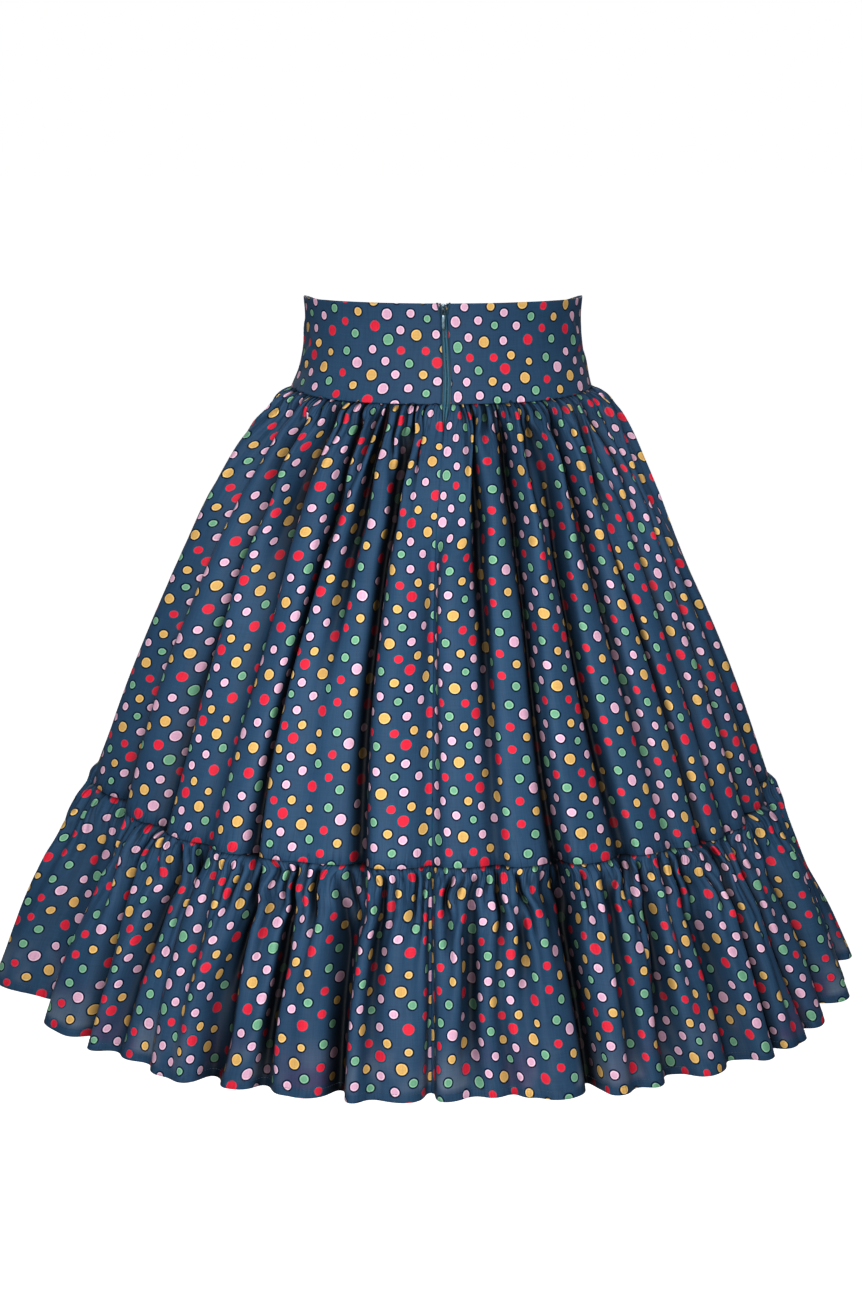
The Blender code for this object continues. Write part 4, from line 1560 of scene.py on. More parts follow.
@dataclass
class ClothPiece:
    """One cloth tube of the skirt, cut into its panels and dressed in cotton."""

    name: str
    tube: ClothTube
    rows: list[Row]
    columns: int
    finishes: Finishes
    print_offsets: dict[Panel, tuple[float, float]]
    whole_cloth: float
    thickness: float = 0.0004
    back_parts_until: float = 2.0
    pucker_reach: float = 0.10
    pucker_at_foot: float = 0.0
    # Painted shade just under the seam above, and painted light from the top to the bottom of the piece.
    tuck_shade: float = 0.0
    light_down: tuple[float, float] = (1.0, 1.0)
    hem_reach: float = 0.0
    hem_turn: float = 0.962

    PARTED = ((0.0012, 0.0002), (0.0040, 0.0002))
    BENEATH = ((0.0011, -0.0012), (0.0013, -0.0038))
    ABOVE = ((0.0004, 0.0001), (0.0006, 0.0004))
    PARTING_BLEND = 0.03
    EDGE_WIDTH = 0.001
    FOOT_REACH = 0.04
    TUCK_PAINTED_SHADE = 0.65
    COLUMNS_TO_A_REACH = 34

    def drops(self) -> Array:
        """Each row's drop."""
        return np.array([row.drop for row in self.rows])

    def flat_down(self, rows: Array) -> Array:
        """How far down the flat cloth each row lies, along the mean of its columns.

        Args:
            rows: The grid's points.

        Returns:
            One distance for each row, 0 at the piece's upper seam.
        """
        down = lengths_down(rows)
        drops = self.drops()
        face_ends = int(np.argmax(drops)) + 1
        return down - np.interp(0.0, drops[:face_ends], down[:face_ends])

    def pucker_values(self, shape: tuple[int, int]) -> Array:
        """How strongly the stitches pucker each point.

        Args:
            shape: The grid's rows and columns.

        Returns:
            A number from 0 to 1 for each point.
        """
        drop = self.drops()[:, None]
        values = np.exp(-np.maximum(drop, 0.0) / self.pucker_reach) if self.pucker_reach else 0 * drop
        foot = self.pucker_at_foot * np.exp(-np.maximum(1 - drop, 0.0) / self.FOOT_REACH)
        return np.broadcast_to(np.clip(values + foot, 0.0, 1.0), shape)

    def hem_values(self, shape: tuple[int, int]) -> Array:
        """How near the hem each point lies, 0 on the turned-up hem itself.

        Args:
            shape: The grid's rows and columns.

        Returns:
            A number from 0 to 1 for each point.
        """
        drop = self.drops()[:, None]
        if not self.hem_reach:
            return np.broadcast_to(0 * drop, shape)
        rise = np.clip((drop - 1 + self.hem_reach) / self.hem_reach, 0.0, 1.0)
        return np.broadcast_to(rise * (drop < self.hem_turn), shape)

    def allowance(self, panel: Panel, first: bool) -> list[tuple[Array, Array]]:
        """The seam allowance's two folds: one panel's lies beneath its neighbour's edge.

        Args:
            panel: Which panel.
            first: Whether it is the edge where the panel starts.

        Returns:
            For each fold, how far inside the seam and how far along the panel each row lies.
        """
        drop = self.drops()
        at_back = (panel is Panel.BACK_RIGHT) if first else (panel is Panel.BACK_LEFT)
        sewn = np.ones(len(drop))
        if at_back:
            sewn = np.clip((drop - self.back_parts_until) / self.PARTING_BLEND, 0, 1)
        beneath = panel is Panel.FRONT or (panel is Panel.BACK_LEFT and at_back)
        folds = zip(self.PARTED, self.BENEATH if beneath else self.ABOVE)
        return [tuple(a + (b - a) * sewn for a, b in zip(*fold)) for fold in folds]

    def build_grid(self, panel: Panel) -> ClothGrid:
        """Places the points of one panel.

        Args:
            panel: Which panel.

        Returns:
            Its grid, with turned-in edges beside the seams.
        """
        shares = panel_shares(panel, self.columns)
        lines = [self.tube.line(row, shares) for row in self.rows]
        points = np.array([line for line, _ in lines])
        facing = np.array([direction for _, direction in lines])
        across = np.broadcast_to(shares * self.whole_cloth, points.shape[:2])
        across = across - self.whole_cloth if panel is Panel.BACK_LEFT else across
        down = self.flat_down(points)[:, None] * np.ones((1, len(shares)))
        for first in (True, False):
            end, beside = (0, 1) if first else (-1, -2)
            towards = points[:, beside] - points[:, end]
            towards = towards / np.maximum(np.linalg.norm(towards, axis=1), 1e-9)[:, None]
            seam = points[:, end].copy()
            for inset, shift in self.allowance(panel, first):
                turned = seam - facing[:, end] * inset[:, None] + towards * shift[:, None]
                edge = across[:, end] + (-self.EDGE_WIDTH if first else self.EDGE_WIDTH)
                order = (lambda new, old: (new, old)) if first else (lambda new, old: (old, new))
                points = np.concatenate(order(turned[:, None], points), axis=1)
                across = np.concatenate(order(edge[:, None], across), axis=1)
                down = np.concatenate(order(down[:, :1], down), axis=1)
                facing = np.concatenate(order(facing[:, end][:, None], facing), axis=1)
        right, lower = self.print_offsets[panel]
        shape = points.shape[:2]
        return ClothGrid(
            points,
            across + right,
            down + lower,
            self.pucker_values(shape),
            self.hem_values(shape),
            self.light(),
            self.columns // self.COLUMNS_TO_A_REACH,
        )

    def light(self) -> Array:
        """The painted light of each row: painted shade just under the seam above, and painted light that
        changes from the top to the bottom of the piece.

        Returns:
            A factor for each row.
        """
        drop = self.drops()[:, None]
        tucked = 1 + 0 * drop
        if self.tuck_shade:
            tucked = 1 - self.TUCK_PAINTED_SHADE * np.clip(1 - drop / self.tuck_shade, 0, 1)
        return tucked * np.interp(drop, (0.0, 1.0), self.light_down)

    def build(self) -> list[bpy.types.Object]:
        """Builds every panel.

        Returns:
            The panels' objects.
        """
        made = []
        for panel in Panel:
            node = f"{self.name}_{panel.label}"
            cloth = [self.finishes.cotton, self.finishes.cotton_inside]
            piece = new_object(f"{node}_cloth", self.build_grid(panel).mesh(node), cloth)
            wall = piece.modifiers.new("wall", "SOLIDIFY")
            wall.thickness = self.thickness
            wall.offset = -1.0
            wall.use_even_offset = False
            wall.material_offset = 1
            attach(piece, Body.SKIRT.value)
            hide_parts(node)
            made.append(piece)
            log_piece(piece)
        return made

    def face_line(self, panel: Panel, drop: float, out: float) -> Array:
        """A line along the cloth's face at one drop.

        Args:
            panel: Which panel.
            drop: How far down the piece.
            out: How far out of the cloth the line lies.

        Returns:
            The line's points.
        """
        points, facing = self.tube.line(Row(drop), panel_shares(panel, self.columns))
        return (points + facing * out)[2:-2]


def spaced_rows(count: int, power: float) -> list[float]:
    """Drops from 0 to 1, closer together near the top.

    Args:
        count: How many.
        power: How much closer.

    Returns:
        The drops.
    """
    return [float((index / (count - 1)) ** power) for index in range(count)]


class Waistband(ClothPiece):
    """The wide fitted waistband."""

    FACE_STARTS = 4

    @classmethod
    def make(cls, finishes: Finishes) -> "Waistband":
        """Sets the band's rows: a turned-in top edge, its face, and an edge tucked over the gathers.

        Args:
            finishes: The materials.

        Returns:
            The waistband.
        """
        rows = [Row(0.10, 0.0016), Row(0.03, 0.0015), Row(0.0, 0.0013, 0.0001), Row(0.0, 0.0005, 0.0006)]
        rows += [Row(0.0, 0.0, 0.0002)]
        rows += [Row(drop) for drop in np.linspace(0.02, 0.985, 40)]
        rows += [Row(1.0), Row(1.0, 0.0006, -0.0005), Row(0.985, 0.0012)]
        offsets = {
            Panel.BACK_LEFT: (0.0, 0.0035),
            Panel.BACK_RIGHT: (-0.0594, -0.0027),
            Panel.FRONT: (-0.031, 0.017),
        }
        cloth = BAND.outline(BAND.ring(0.5), np.zeros(1))[3]
        band = cls("waistband", BAND, rows, 256, finishes, offsets, cloth)
        band.pucker_reach = 0.0
        band.pucker_at_foot = 0.35
        return band

    def flat_down(self, rows: Array) -> Array:
        """How far down the flat cloth each row lies, 0 at the band's top edge."""
        down = lengths_down(rows)
        return down - down[self.FACE_STARTS]

    def declare(self, pieces: list[bpy.types.Object]) -> None:
        """Takes the built panels and does nothing with them."""


class SkirtTier(ClothPiece):
    """The gathered tier between the waistband and the ruffle."""

    @classmethod
    def make(cls, finishes: Finishes) -> "SkirtTier":
        """Sets the tier's rows, from under the waistband down to its edge over the ruffle.

        Args:
            finishes: The materials.

        Returns:
            The tier.
        """
        rows = [Row(-0.02, 0.0006), Row(-0.01, 0.0005), Row(-0.004, 0.0003)]
        rows += [Row(drop) for drop in spaced_rows(58, 1.55)]
        rows += [Row(1.0, 0.0007, -0.0004), Row(0.985, 0.0011)]
        offsets = {
            Panel.BACK_LEFT: (0.022, 0.006),
            Panel.BACK_RIGHT: (0.071, 0.031),
            Panel.FRONT: (0.043, 0.052),
        }
        return cls(
            "tier",
            TIER,
            rows,
            1088,
            finishes,
            offsets,
            TIER.cloth,
            back_parts_until=0.07,
            pucker_reach=0.07,
            pucker_at_foot=0.5,
            tuck_shade=0.008,
            light_down=(1.20, 0.76),
        )

    def declare(self, pieces: list[bpy.types.Object]) -> None:
        """Takes the built panels and does nothing with them."""


class Ruffle(ClothPiece):
    """The deep gathered ruffle with its sewn hem."""

    @classmethod
    def make(cls, finishes: Finishes) -> "Ruffle":
        """Sets the ruffle's rows, from under the tier down to the hem and up inside it.

        Args:
            finishes: The materials.

        Returns:
            The ruffle.
        """
        rows = [Row(-0.04, 0.0022), Row(-0.02, 0.0020), Row(-0.006, 0.0016)]
        rows += [Row(drop) for drop in spaced_rows(46, 1.35)]
        rows += [Row(1.0, 0.0003, -0.0004), Row(1.0, 0.0009, -0.0002), Row(0.985, 0.0012), Row(0.957, 0.0012)]
        offsets = {
            Panel.BACK_LEFT: (0.050, 0.020),
            Panel.BACK_RIGHT: (0.013, 0.044),
            Panel.FRONT: (0.085, 0.008),
        }
        return cls(
            "ruffle",
            RUFFLE,
            rows,
            1600,
            finishes,
            offsets,
            RUFFLE.cloth,
            back_parts_until=-1.0,
            pucker_reach=0.16,
            pucker_at_foot=0.25,
            tuck_shade=0.022,
            light_down=(1.04, 1.08),
            hem_reach=0.27,
        )

    def declare(self, pieces: list[bpy.types.Object]) -> None:
        """Takes the built panels and does nothing with them."""


class RepeatAlong:
    """Geometry Nodes that set one small shape along a line, again and again."""

    NAME = "repeat_along_line"

    def __init__(self) -> None:
        """Builds the tree with its named inputs."""
        self.tree = bpy.data.node_groups.new(self.NAME, "GeometryNodeTree")
        face = self.tree.interface
        self.names: dict[str, str] = {}
        face.new_socket(name="Line", in_out="INPUT", socket_type="NodeSocketGeometry")
        for name, kind, value in (
            ("Spacing", "NodeSocketFloat", 0.003),
            ("Length", "NodeSocketFloat", 0.0022),
            ("Thickness", "NodeSocketFloat", 0.0004),
            ("Unevenness", "NodeSocketFloat", 0.1),
            ("Seed", "NodeSocketInt", 7),
            ("Finish", "NodeSocketMaterial", None),
        ):
            socket = face.new_socket(name=name, in_out="INPUT", socket_type=kind)
            if value is not None:
                socket.default_value = value
            self.names[name] = socket.identifier
        face.new_socket(name="Shapes", in_out="OUTPUT", socket_type="NodeSocketGeometry")
        self.build()

    def build(self) -> None:
        """Adds the nodes: the line is spaced out, and a shape is set at each place and turned along it."""
        w = Wiring(self.tree)
        given = w.add("NodeGroupInput").outputs
        made = w.add("NodeGroupOutput").inputs
        curve = w.add("GeometryNodeMeshToCurve")
        w.feed(curve.inputs[0], given["Line"])
        spaced = w.add("GeometryNodeResampleCurve", mode="LENGTH")
        w.feed(spaced.inputs["Curve"], curve.outputs[0])
        w.feed(spaced.inputs["Length"], given["Spacing"])
        ball = w.add("GeometryNodeMeshUVSphere")
        w.feed(ball.inputs["Segments"], 8)
        w.feed(ball.inputs["Rings"], 6)
        w.feed(ball.inputs["Radius"], 0.5)
        tangent = w.add("GeometryNodeInputTangent")
        turned = w.add("FunctionNodeAlignRotationToVector", axis="Z")
        w.feed(turned.inputs["Vector"], tangent.outputs[0])
        size = w.add("ShaderNodeCombineXYZ")
        w.feed(size.inputs[0], given["Thickness"])
        w.feed(size.inputs[1], given["Thickness"])
        w.feed(size.inputs[2], given["Length"])
        least = w.maths("SUBTRACT", 1.0, given["Unevenness"])
        chance = w.add("FunctionNodeRandomValue", data_type="FLOAT")
        floats = [socket for socket in chance.inputs if socket.type == "VALUE"]
        w.feed(floats[0], least)
        w.feed(floats[1], 1.0)
        w.feed(chance.inputs["Seed"], given["Seed"])
        value = next(socket for socket in chance.outputs if socket.type == "VALUE")
        scaled = w.scaled(size.outputs[0], value)
        set_out = w.add("GeometryNodeInstanceOnPoints")
        w.feed(set_out.inputs["Points"], spaced.outputs[0])
        w.feed(set_out.inputs["Instance"], ball.outputs["Mesh"])
        w.feed(set_out.inputs["Rotation"], turned.outputs[0])
        w.feed(set_out.inputs["Scale"], scaled)
        real = w.add("GeometryNodeRealizeInstances")
        w.feed(real.inputs[0], set_out.outputs[0])
        dressed = w.add("GeometryNodeSetMaterial")
        w.feed(dressed.inputs["Geometry"], real.outputs[0])
        w.feed(dressed.inputs["Material"], given["Finish"])
        w.feed(made[0], dressed.outputs[0])

    def run(
        self, name: str, lines: list[Array], material: bpy.types.Material, **sizes: float
    ) -> bpy.types.Object:
        """Sets shapes along lines and joins them in one plain mesh.

        Args:
            name: The piece's name.
            lines: The lines' points.
            material: What the shapes are made of.
            **sizes: Values for the tree's inputs, with a capital first letter.

        Returns:
            The finished object.
        """
        points = np.concatenate(lines)
        edges, start = [], 0
        for line in lines:
            edges += [(start + index, start + index + 1) for index in range(len(line) - 1)]
            start += len(line)
        mesh = bpy.data.meshes.new(f"{name}_line")
        mesh.from_pydata(points.tolist(), edges, [])
        holder = bpy.data.objects.new(f"{name}_line", mesh)
        bpy.context.scene.collection.objects.link(holder)
        modifier = holder.modifiers.new("repeat", "NODES")
        modifier.node_group = self.tree
        for label, value in sizes.items():
            modifier[self.names[label]] = value
        modifier[self.names["Finish"]] = material
        graph = bpy.context.evaluated_depsgraph_get()
        result = bpy.data.meshes.new_from_object(holder.evaluated_get(graph), depsgraph=graph)
        result.name = name
        result.materials.clear()
        bpy.data.objects.remove(holder, do_unlink=True)
        bpy.data.meshes.remove(mesh)
        return new_object(name, result, [material])


@dataclass
class HemStitching:
    """The line of machine stitches that holds the hem, just proud of the cloth."""

    ruffle: Ruffle
    repeat: RepeatAlong
    finishes: Finishes
    drop: float = 0.9665
    spacing: float = 0.0029
    length: float = 0.0024
    thickness: float = 0.00042
    unevenness: float = 0.12
    proud: float = 0.0001

    def build(self) -> None:
        """Builds the stitches of each panel."""
        for panel in Panel:
            piece = self.repeat.run(
                f"hem_stitches_{panel.label}",
                [self.ruffle.face_line(panel, self.drop, self.proud)],
                self.finishes.thread,
                Spacing=self.spacing,
                Length=self.length,
                Thickness=self.thickness,
                Unevenness=self.unevenness,
            )
            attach(piece, Body.SKIRT.value)
            log_piece(piece)


@dataclass
class BackZip:
    """The zip's two tapes, rolled forward where they meet, and the closed coil between them."""

    repeat: RepeatAlong
    finishes: Finishes
    tape_thickness: float = 0.0005
    tape_ends_at: float = 0.26
    behind: float = 0.0017
    # Where the painted shadow of the cloth's edges starts on the tape, and how soon it is full.
    shade_starts: float = 0.0009
    shade_blend: float = 0.0006
    coil_half_width: float = 0.00042
    coil_rise: float = -0.0010
    loop_spacing: float = 0.00125
    loop_length: float = 0.00095
    loop_thickness: float = 0.0012
    loop_unevenness: float = 0.05
    tape_profile: tuple[tuple[float, float], ...] = (
        (0.00030, -0.0009),
        (0.00022, -0.0002),
        (0.00040, 0.0005),
        (0.00110, 0.0009),
        (0.00160, 0.0009),
        (0.00210, 0.0006),
        (0.00250, 0.0002),
        (0.00300, -0.0001),
        (0.00350, -0.0001),
        (0.00400, -0.0001),
        (0.00460, -0.0001),
        (0.00600, -0.0001),
        (0.01200, -0.0001),
    )
    sinks: tuple[tuple[float, float], ...] = (
        (0.0, 0.0008),
        (0.015, 0.0024),
        (0.05, 0.0024),
        (0.12, 0.0016),
        (1.0, 0.0014),
    )

    def levels(self) -> list[tuple[ClothTube, float, float]]:
        """The tube, drop and depth that the tape follows at each of its rows."""
        rows = [(BAND, float(drop), 0.0) for drop in np.linspace(0.01, 1.0, 34)]
        places = np.array([strip.drop for strip in ZIP_STRIP])
        depths = np.array([strip.depth for strip in ZIP_STRIP])
        sink_places, sinks = zip(*self.sinks)
        for drop in np.linspace(0.004, self.tape_ends_at, 40):
            depth = float(np.interp(drop, places, depths))
            rows.append((TIER, float(drop), depth - float(np.interp(drop, sink_places, sinks))))
        return rows

    def strip(self, across: Array, rises: Array) -> Array:
        """Places lines down the zip.

        Args:
            across: How far right of the centre back each column lies.
            rises: How far out of the tape's plane each column lies.

        Returns:
            A grid of points, a row for each level.
        """
        rows = []
        for tube, drop, depth in self.levels():
            ring = tube.ring(drop)
            length = tube.outline(ring, np.zeros(1))[3]
            lean = tube.parting(drop)[1]
            points, outward, turn, _ = tube.outline(ring, (across + lean) / length)
            height = tube.heights(drop, turn)
            flat = points + outward * (depth - self.behind + rises)[:, None]
            flat[:, 0] += tube.swayed(height)
            rows.append(np.column_stack([flat, height]))
        return np.array(rows)

    def build_tape(self, side: Side) -> bpy.types.Object:
        """Builds one tape, rolled forward where it meets the other.

        Args:
            side: Which side.

        Returns:
            The tape's object.
        """
        across, rises = (np.array(column) for column in zip(*self.tape_profile))
        across = across * side.value
        if side is Side.LEFT:
            across, rises = across[::-1], rises[::-1]
        points = self.strip(across, rises)
        down = lengths_down(points)[:, None] * np.ones((1, len(across)))
        flat_across = np.concatenate([[0.0], np.cumsum(np.hypot(np.diff(across), np.diff(rises)))])
        # Painted shadow of the cloth's edges on the tape, carried as the grid's openness.
        gaps = np.array([tube.parting(drop)[0] for tube, drop, _ in self.levels()])[:, None]
        open_middle = 1 - np.clip((np.abs(across) - gaps + self.shade_starts) / self.shade_blend, 0, 1)
        grid = ClothGrid(points, flat_across + 0 * down, down, 0 * down, 0 * down, open_middle)
        node = f"zip_tape_{side.name.lower()}"
        piece = new_object(f"{node}_cloth", grid.mesh(node), [self.finishes.tape])
        wall = piece.modifiers.new("wall", "SOLIDIFY")
        wall.thickness = self.tape_thickness
        wall.offset = -1.0
        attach(piece, Body.SKIRT.value)
        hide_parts(node)
        log_piece(piece)
        return piece

    def build_coil(self) -> bpy.types.Object:
        """Builds the closed coil: pairs of nylon loops across the centre back."""
        places = (-self.coil_half_width, self.coil_half_width)
        piece = self.repeat.run(
            "zip_coil_loops",
            [self.strip(np.array([place]), np.array([self.coil_rise]))[:, 0] for place in places],
            self.finishes.coil,
            Spacing=self.loop_spacing,
            Length=self.loop_length,
            Thickness=self.loop_thickness,
            Unevenness=self.loop_unevenness,
        )
        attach(piece, Body.SKIRT.value)
        log_piece(piece)
        return piece


@dataclass(frozen=True)
class Section:
    """One cross-section of a small lofted part: its height, half width, half thickness and place."""

    height: float
    half_width: float
    half_thick: float
    middle_y: float
    middle_x: float = 0.0


class SmallParts:
    """Meshes for the zip's small metal parts."""

    AROUND = 20
    SQUARENESS = 3.4
    WIRE_SIDES = 10
    POLE_RISE = 0.00005

    @staticmethod
    def join(bm: bmesh.types.BMesh, first: Loop, second: Loop) -> None:
        """Joins two rings of points with faces."""
        for index, start in enumerate(first):
            after = (index + 1) % len(first)
            bm.faces.new((start, second[index], second[after], first[after]))

    @staticmethod
    def close(bm: bmesh.types.BMesh, ring: Loop, rise: Vector) -> None:
        """Closes a ring with a pole that stands a little past its middle."""
        middle = sum((vert.co for vert in ring), Vector()) / len(ring)
        pole = bm.verts.new(middle + rise)
        for index, start in enumerate(ring):
            bm.faces.new((start, ring[(index + 1) % len(ring)], pole))

    @classmethod
    def loft(cls, bm: bmesh.types.BMesh, sections: list[Section]) -> None:
        """Joins rounded cross-sections into one closed body.

        Args:
            bm: The mesh that it goes into.
            sections: The cross-sections, from the top down.
        """
        rings = []
        for section in sections:
            ring = []
            for index in range(cls.AROUND):
                turn = FULL_TURN * index / cls.AROUND
                x = math.copysign(abs(math.cos(turn)) ** (2 / cls.SQUARENESS), math.cos(turn))
                y = math.copysign(abs(math.sin(turn)) ** (2 / cls.SQUARENESS), math.sin(turn))
                place = (
                    section.middle_x + x * section.half_width,
                    section.middle_y + y * section.half_thick,
                    section.height,
                )
                ring.append(bm.verts.new(place))
            rings.append(ring)
        for upper, lower in zip(rings, rings[1:]):
            cls.join(bm, upper, lower)
        cls.close(bm, rings[0], Vector((0, 0, cls.POLE_RISE)))
        cls.close(bm, rings[-1], Vector((0, 0, -cls.POLE_RISE)))

    @classmethod
    def tube(
        cls, bm: bmesh.types.BMesh, path: list[Vector], radius: float, closed: bool, flat: float = 1.0
    ) -> None:
        """Sweeps a round wire along a path.

        Args:
            bm: The mesh that it goes into.
            path: The wire's middle line.
            radius: Its radius.
            closed: Whether the path joins up.
            flat: How thick the wire is from side to side, for each unit of its radius.
        """
        count = len(path)
        rings = []
        for index, middle in enumerate(path):
            before = path[index - 1] if closed or index else path[0]
            after = path[(index + 1) % count] if closed or index < count - 1 else path[-1]
            along = (after - before).normalized()
            side = Vector((1, 0, 0)) if abs(along.x) < 0.9 else Vector((0, 1, 0))
            first = (side - along * side.dot(along)).normalized()
            second = along.cross(first)
            ring = []
            for step in range(cls.WIRE_SIDES):
                turn = FULL_TURN * step / cls.WIRE_SIDES
                place = middle + first * math.cos(turn) * radius * flat + second * math.sin(turn) * radius
                ring.append(bm.verts.new(place))
            rings.append(ring)
        pairs = list(zip(rings, rings[1:]))
        if closed:
            pairs.append((rings[-1], rings[0]))
        for lower, upper in pairs:
            cls.join(bm, lower, upper)
        if not closed:
            cls.close(bm, rings[0], (path[0] - path[1]).normalized() * radius * 0.5)
            cls.close(bm, rings[-1], (path[-1] - path[-2]).normalized() * radius * 0.5)

    @staticmethod
    def finish(bm: bmesh.types.BMesh, name: str, material: bpy.types.Material) -> bpy.types.Object:
        """Closes, faces outward and smooths a small part.

        Args:
            bm: The mesh.
            name: The part's name.
            material: What it is made of.

        Returns:
            The part's object.
        """
        bmesh.ops.recalc_face_normals(bm, faces=bm.faces)
        mesh = bpy.data.meshes.new(name)
        bm.to_mesh(mesh)
        bm.free()
        piece = new_object(name, mesh, [material])
        smooth = piece.modifiers.new("smooth", "SUBSURF")
        smooth.levels = 1
        smooth.render_levels = 1
        return piece


@dataclass
class ZipSlider:
    """The slider at the top of the zip: its face plate, bridge and guides, and the coil's free ends."""

    finishes: Finishes

    PLATE_THICKNESS = 0.0005
    PLATE = (
        (1.0, 0.0013, 0.0003),
        (0.86, 0.0019, 0.0005),
        (0.45, 0.0023, 0.0005),
        (-0.20, 0.0021, 0.0005),
        (-0.70, 0.0019, 0.0005),
        (-1.0, 0.0014, 0.0003),
    )
    GUIDE = (
        (0.80, 0.0003, 0.0007, 0.0021),
        (0.30, 0.0004, 0.0009, 0.0023),
        (-0.60, 0.0004, 0.0009, 0.0019),
        (-0.90, 0.0003, 0.0006, 0.0017),
    )
    GUIDE_SET_BACK = 0.0004
    BRIDGE_STEPS = 14
    BRIDGE_HALF_HEIGHT = 0.0027
    BRIDGE_RADIUS = 0.00045
    END_STEPS = 8
    END_RADIUS = 0.00095

    def build(self) -> bpy.types.Object:
        """Builds the slider inside the place that its solid holds."""
        low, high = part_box("zip_slider")
        middle_z = (low[2] + high[2]) / 2
        half = (high[2] - low[2]) / 2
        face = high[1]
        plate = face - self.PLATE_THICKNESS
        bm = bmesh.new()
        sections = [Section(middle_z + half * rise, width, thick, plate) for rise, width, thick in self.PLATE]
        SmallParts.loft(bm, sections)
        guide = plate + self.GUIDE_SET_BACK
        for side in Side:
            sections = [
                Section(middle_z + half * rise, width, thick, guide, side.value * place)
                for rise, width, thick, place in self.GUIDE
            ]
            SmallParts.loft(bm, sections)
        reach_y = plate - low[1] - 0.0009
        bridge = []
        for index in range(self.BRIDGE_STEPS + 1):
            turn = math.pi * index / self.BRIDGE_STEPS
            y = face - 0.0008 - reach_y * math.sin(turn) ** 0.6
            bridge.append(Vector((0, y, middle_z + self.BRIDGE_HALF_HEIGHT * math.cos(turn))))
        SmallParts.tube(bm, bridge, self.BRIDGE_RADIUS, False, 1.25)
        piece = SmallParts.finish(bm, "zip_slider_metal", self.finishes.metal)
        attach(piece, Body.SKIRT.value)
        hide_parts("zip_slider")
        log_piece(piece)
        return piece

    def build_coil_ends(self) -> bpy.types.Object:
        """Builds the coil's two free ends, which run up beside the slider and fork at the top edge."""
        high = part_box("zip_slider")[1]
        bm = bmesh.new()
        for side in Side:
            path = []
            for index in range(self.END_STEPS + 1):
                t = index / self.END_STEPS
                x = side.value * (0.0035 + 0.0022 * t**1.4)
                y = high[1] - 0.0012 - 0.0004 * math.sin(math.pi * t)
                z = high[2] - 0.0090 + 0.0100 * t**0.9
                path.append(Vector((x, y, z)))
            SmallParts.tube(bm, path, self.END_RADIUS, False)
        piece = SmallParts.finish(bm, "zip_coil_ends", self.finishes.coil)
        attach(piece, Body.SKIRT.value)
        log_piece(piece)
        return piece


@dataclass
class PullTab:
    """The pull tab that hangs from the slider's bridge and swings on it."""

    finishes: Finishes

    EYE_STEPS = 20
    EYE_HALF_WIDTH = 0.00155
    EYE_HALF_HEIGHT = 0.00245
    EYE_RADIUS = 0.00045
    EYE_BELOW_TOP = 0.0029
    LEAF = (
        (0.275, 0.0011, 0.55),
        (0.31, 0.0016, 0.80),
        (0.38, 0.0018, 0.95),
        (0.55, 0.0020, 1.0),
        (0.75, 0.0022, 1.0),
        (0.88, 0.0022, 0.95),
        (0.95, 0.0019, 0.85),
        (1.0, 0.0012, 0.55),
    )

    def build(self) -> bpy.types.Object:
        """Builds the tab: a wire eye round the bridge and a long flat leaf below it."""
        low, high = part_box("zip_pull_tab")
        middle_y = (low[1] + high[1]) / 2
        thick = (high[1] - low[1]) / 2
        top, foot = high[2], low[2]
        length = top - foot
        bm = bmesh.new()
        eye = []
        for index in range(self.EYE_STEPS):
            turn = FULL_TURN * index / self.EYE_STEPS
            x = self.EYE_HALF_WIDTH * math.sin(turn)
            z = top - self.EYE_BELOW_TOP + self.EYE_HALF_HEIGHT * math.cos(turn)
            eye.append(Vector((x, middle_y, z)))
        SmallParts.tube(bm, eye, self.EYE_RADIUS, True)
        sections = [
            Section(top - length * share, width, thick * full, middle_y)
            for share, width, full in self.LEAF
        ]
        SmallParts.loft(bm, sections)
        piece = SmallParts.finish(bm, "zip_pull_tab_metal", self.finishes.metal)
        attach(piece, Body.PULL_TAB.value)
        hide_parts("zip_pull_tab")
        log_piece(piece)
        return piece


@dataclass(frozen=True)
class Light:
    """One soft square light: its name, place, side, power in watts and spread in degrees."""

    name: str
    place: tuple[float, float, float]
    size: float
    power: float
    spread: float


LIGHTS = (
    Light("key_light", (-0.35, -3.0, 0.50), 0.7, 3.6, 30.0),
    Light("fill_light", (0.5, -3.0, 0.9), 0.9, 2.5, 50.0),
    Light("far_light", (0.3, 3.0, 0.9), 1.2, 5.4, 60.0),
    Light("far_left_light", (-1.7, 2.6, 0.9), 1.2, 1.8, 60.0),
    Light("far_right_light", (1.7, 2.6, 0.9), 1.2, 1.8, 60.0),
)


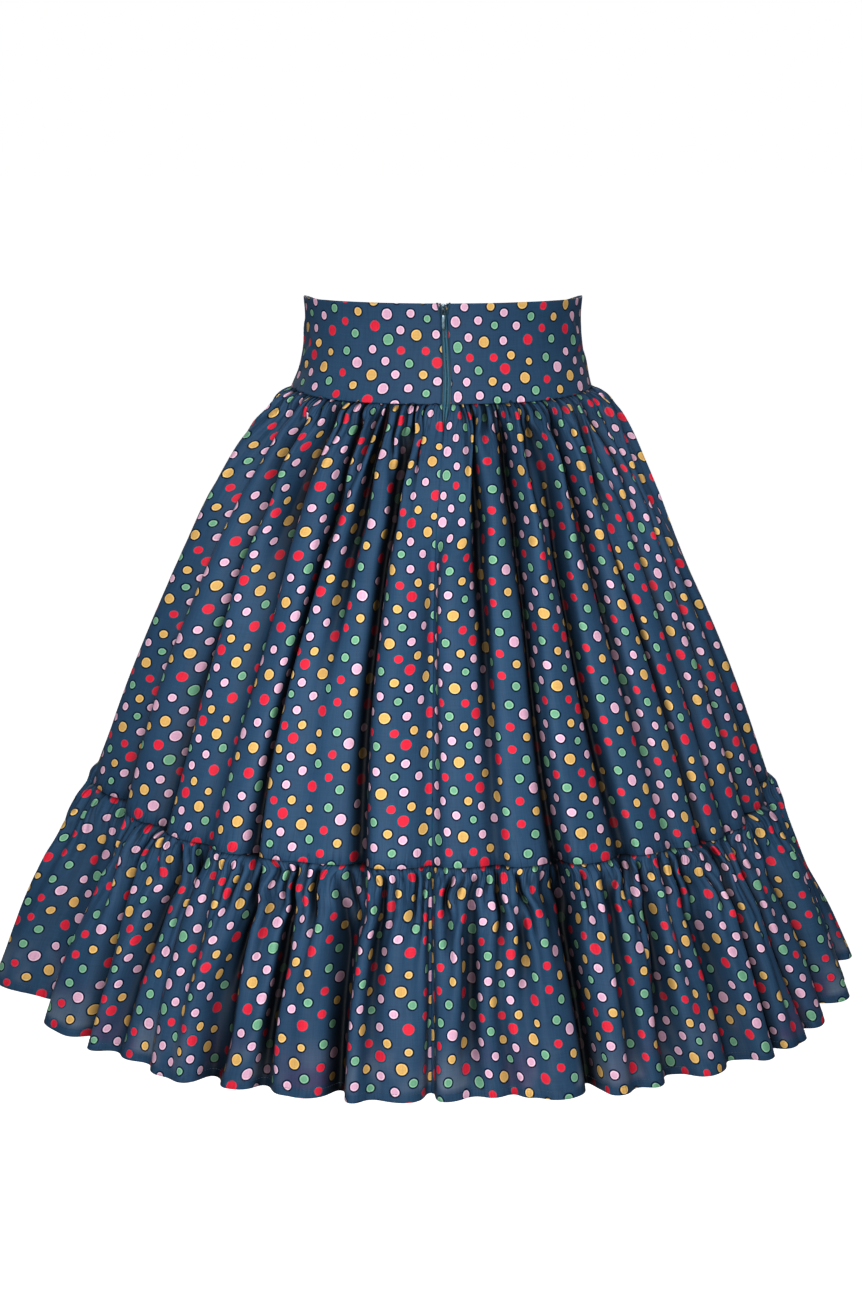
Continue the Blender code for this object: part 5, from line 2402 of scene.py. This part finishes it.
@dataclass
class Studio:
    """The pale floor, the soft lights and the camera."""

    finishes: Finishes
    floor_height: float = -1.07
    floor_half: float = 30.0
    camera_place: tuple[float, float, float] = (-0.0105, -2.8, 0.25)
    camera_tilt: float = math.radians(78.89)
    lens: float = 84.54
    sensor: float = 36.0
    aim: tuple[float, float, float] = (-0.01, 0.0, -0.36)
    ambient: float = 0.07

    def build_floor(self) -> None:
        """Builds the floor, well below the skirt, where its wearer stands."""
        half = self.floor_half
        corners = [(-half, -half), (half, -half), (half, half), (-half, half)]
        mesh = bpy.data.meshes.new("floor")
        mesh.from_pydata([(x, y, self.floor_height) for x, y in corners], [], [(0, 1, 2, 3)])
        floor = new_object("floor", mesh, [self.finishes.floor])

    def add_light(self, light: Light) -> None:
        """Adds one light that faces the skirt.

        Args:
            light: The light's place and sizes.
        """
        data = bpy.data.lights.new(light.name, "AREA")
        data.shape = "SQUARE"
        data.size = light.size
        data.energy = light.power
        data.spread = math.radians(light.spread)
        lamp = bpy.data.objects.new(light.name, data)
        lamp.location = light.place
        towards = Vector(self.aim) - Vector(light.place)
        lamp.rotation_euler = towards.to_track_quat("-Z", "Y").to_euler()
        bpy.context.scene.collection.objects.link(lamp)

    def build_world(self) -> None:
        """Sets a white background that lights the skirt softly."""
        world = bpy.data.worlds.new("studio")
        bpy.context.scene.world = world
        world.use_nodes = True
        w = Wiring(world.node_tree)
        background = world.node_tree.nodes["Background"]
        path = w.add("ShaderNodeLightPath")
        w.feed(background.inputs["Strength"], w.choose(path.outputs["Is Camera Ray"], self.ambient, 1.0))
        background.inputs["Color"].default_value = (1.0, 1.0, 1.0, 1.0)

    def build_camera(self) -> None:
        """Places the camera as the photograph's stood."""
        data = bpy.data.cameras.new("camera")
        data.lens = self.lens
        data.sensor_width = self.sensor
        data.clip_start = 0.01
        data.clip_end = 200.0
        camera = bpy.data.objects.new("camera", data)
        camera.location = self.camera_place
        camera.rotation_euler = (self.camera_tilt, 0.0, 0.0)
        bpy.context.scene.collection.objects.link(camera)
        bpy.context.scene.camera = camera

    def build(self) -> None:
        """Builds the studio."""
        self.build_floor()
        self.build_world()
        for light in LIGHTS:
            self.add_light(light)
        self.build_camera()
        view = bpy.context.scene.view_settings
        view.view_transform = "Standard"
        view.look = "None"


def main() -> None:
    """Builds every piece of the skirt's looks in order."""
    logging.basicConfig(level=logging.INFO, format="%(name)s: %(message)s")
    finishes = Finishes()
    repeat = RepeatAlong()
    band = Waistband.make(finishes)
    band.declare(band.build())
    tier = SkirtTier.make(finishes)
    tier.declare(tier.build())
    ruffle = Ruffle.make(finishes)
    ruffle.declare(ruffle.build())
    HemStitching(ruffle, repeat, finishes).build()
    back_zip = BackZip(repeat, finishes)
    for side in Side:
        back_zip.build_tape(side)
    back_zip.build_coil()
    slider = ZipSlider(finishes)
    slider.build()
    slider.build_coil_ends()
    PullTab(finishes).build()
    Studio(finishes).build()


if __name__ == "__main__":
    main()
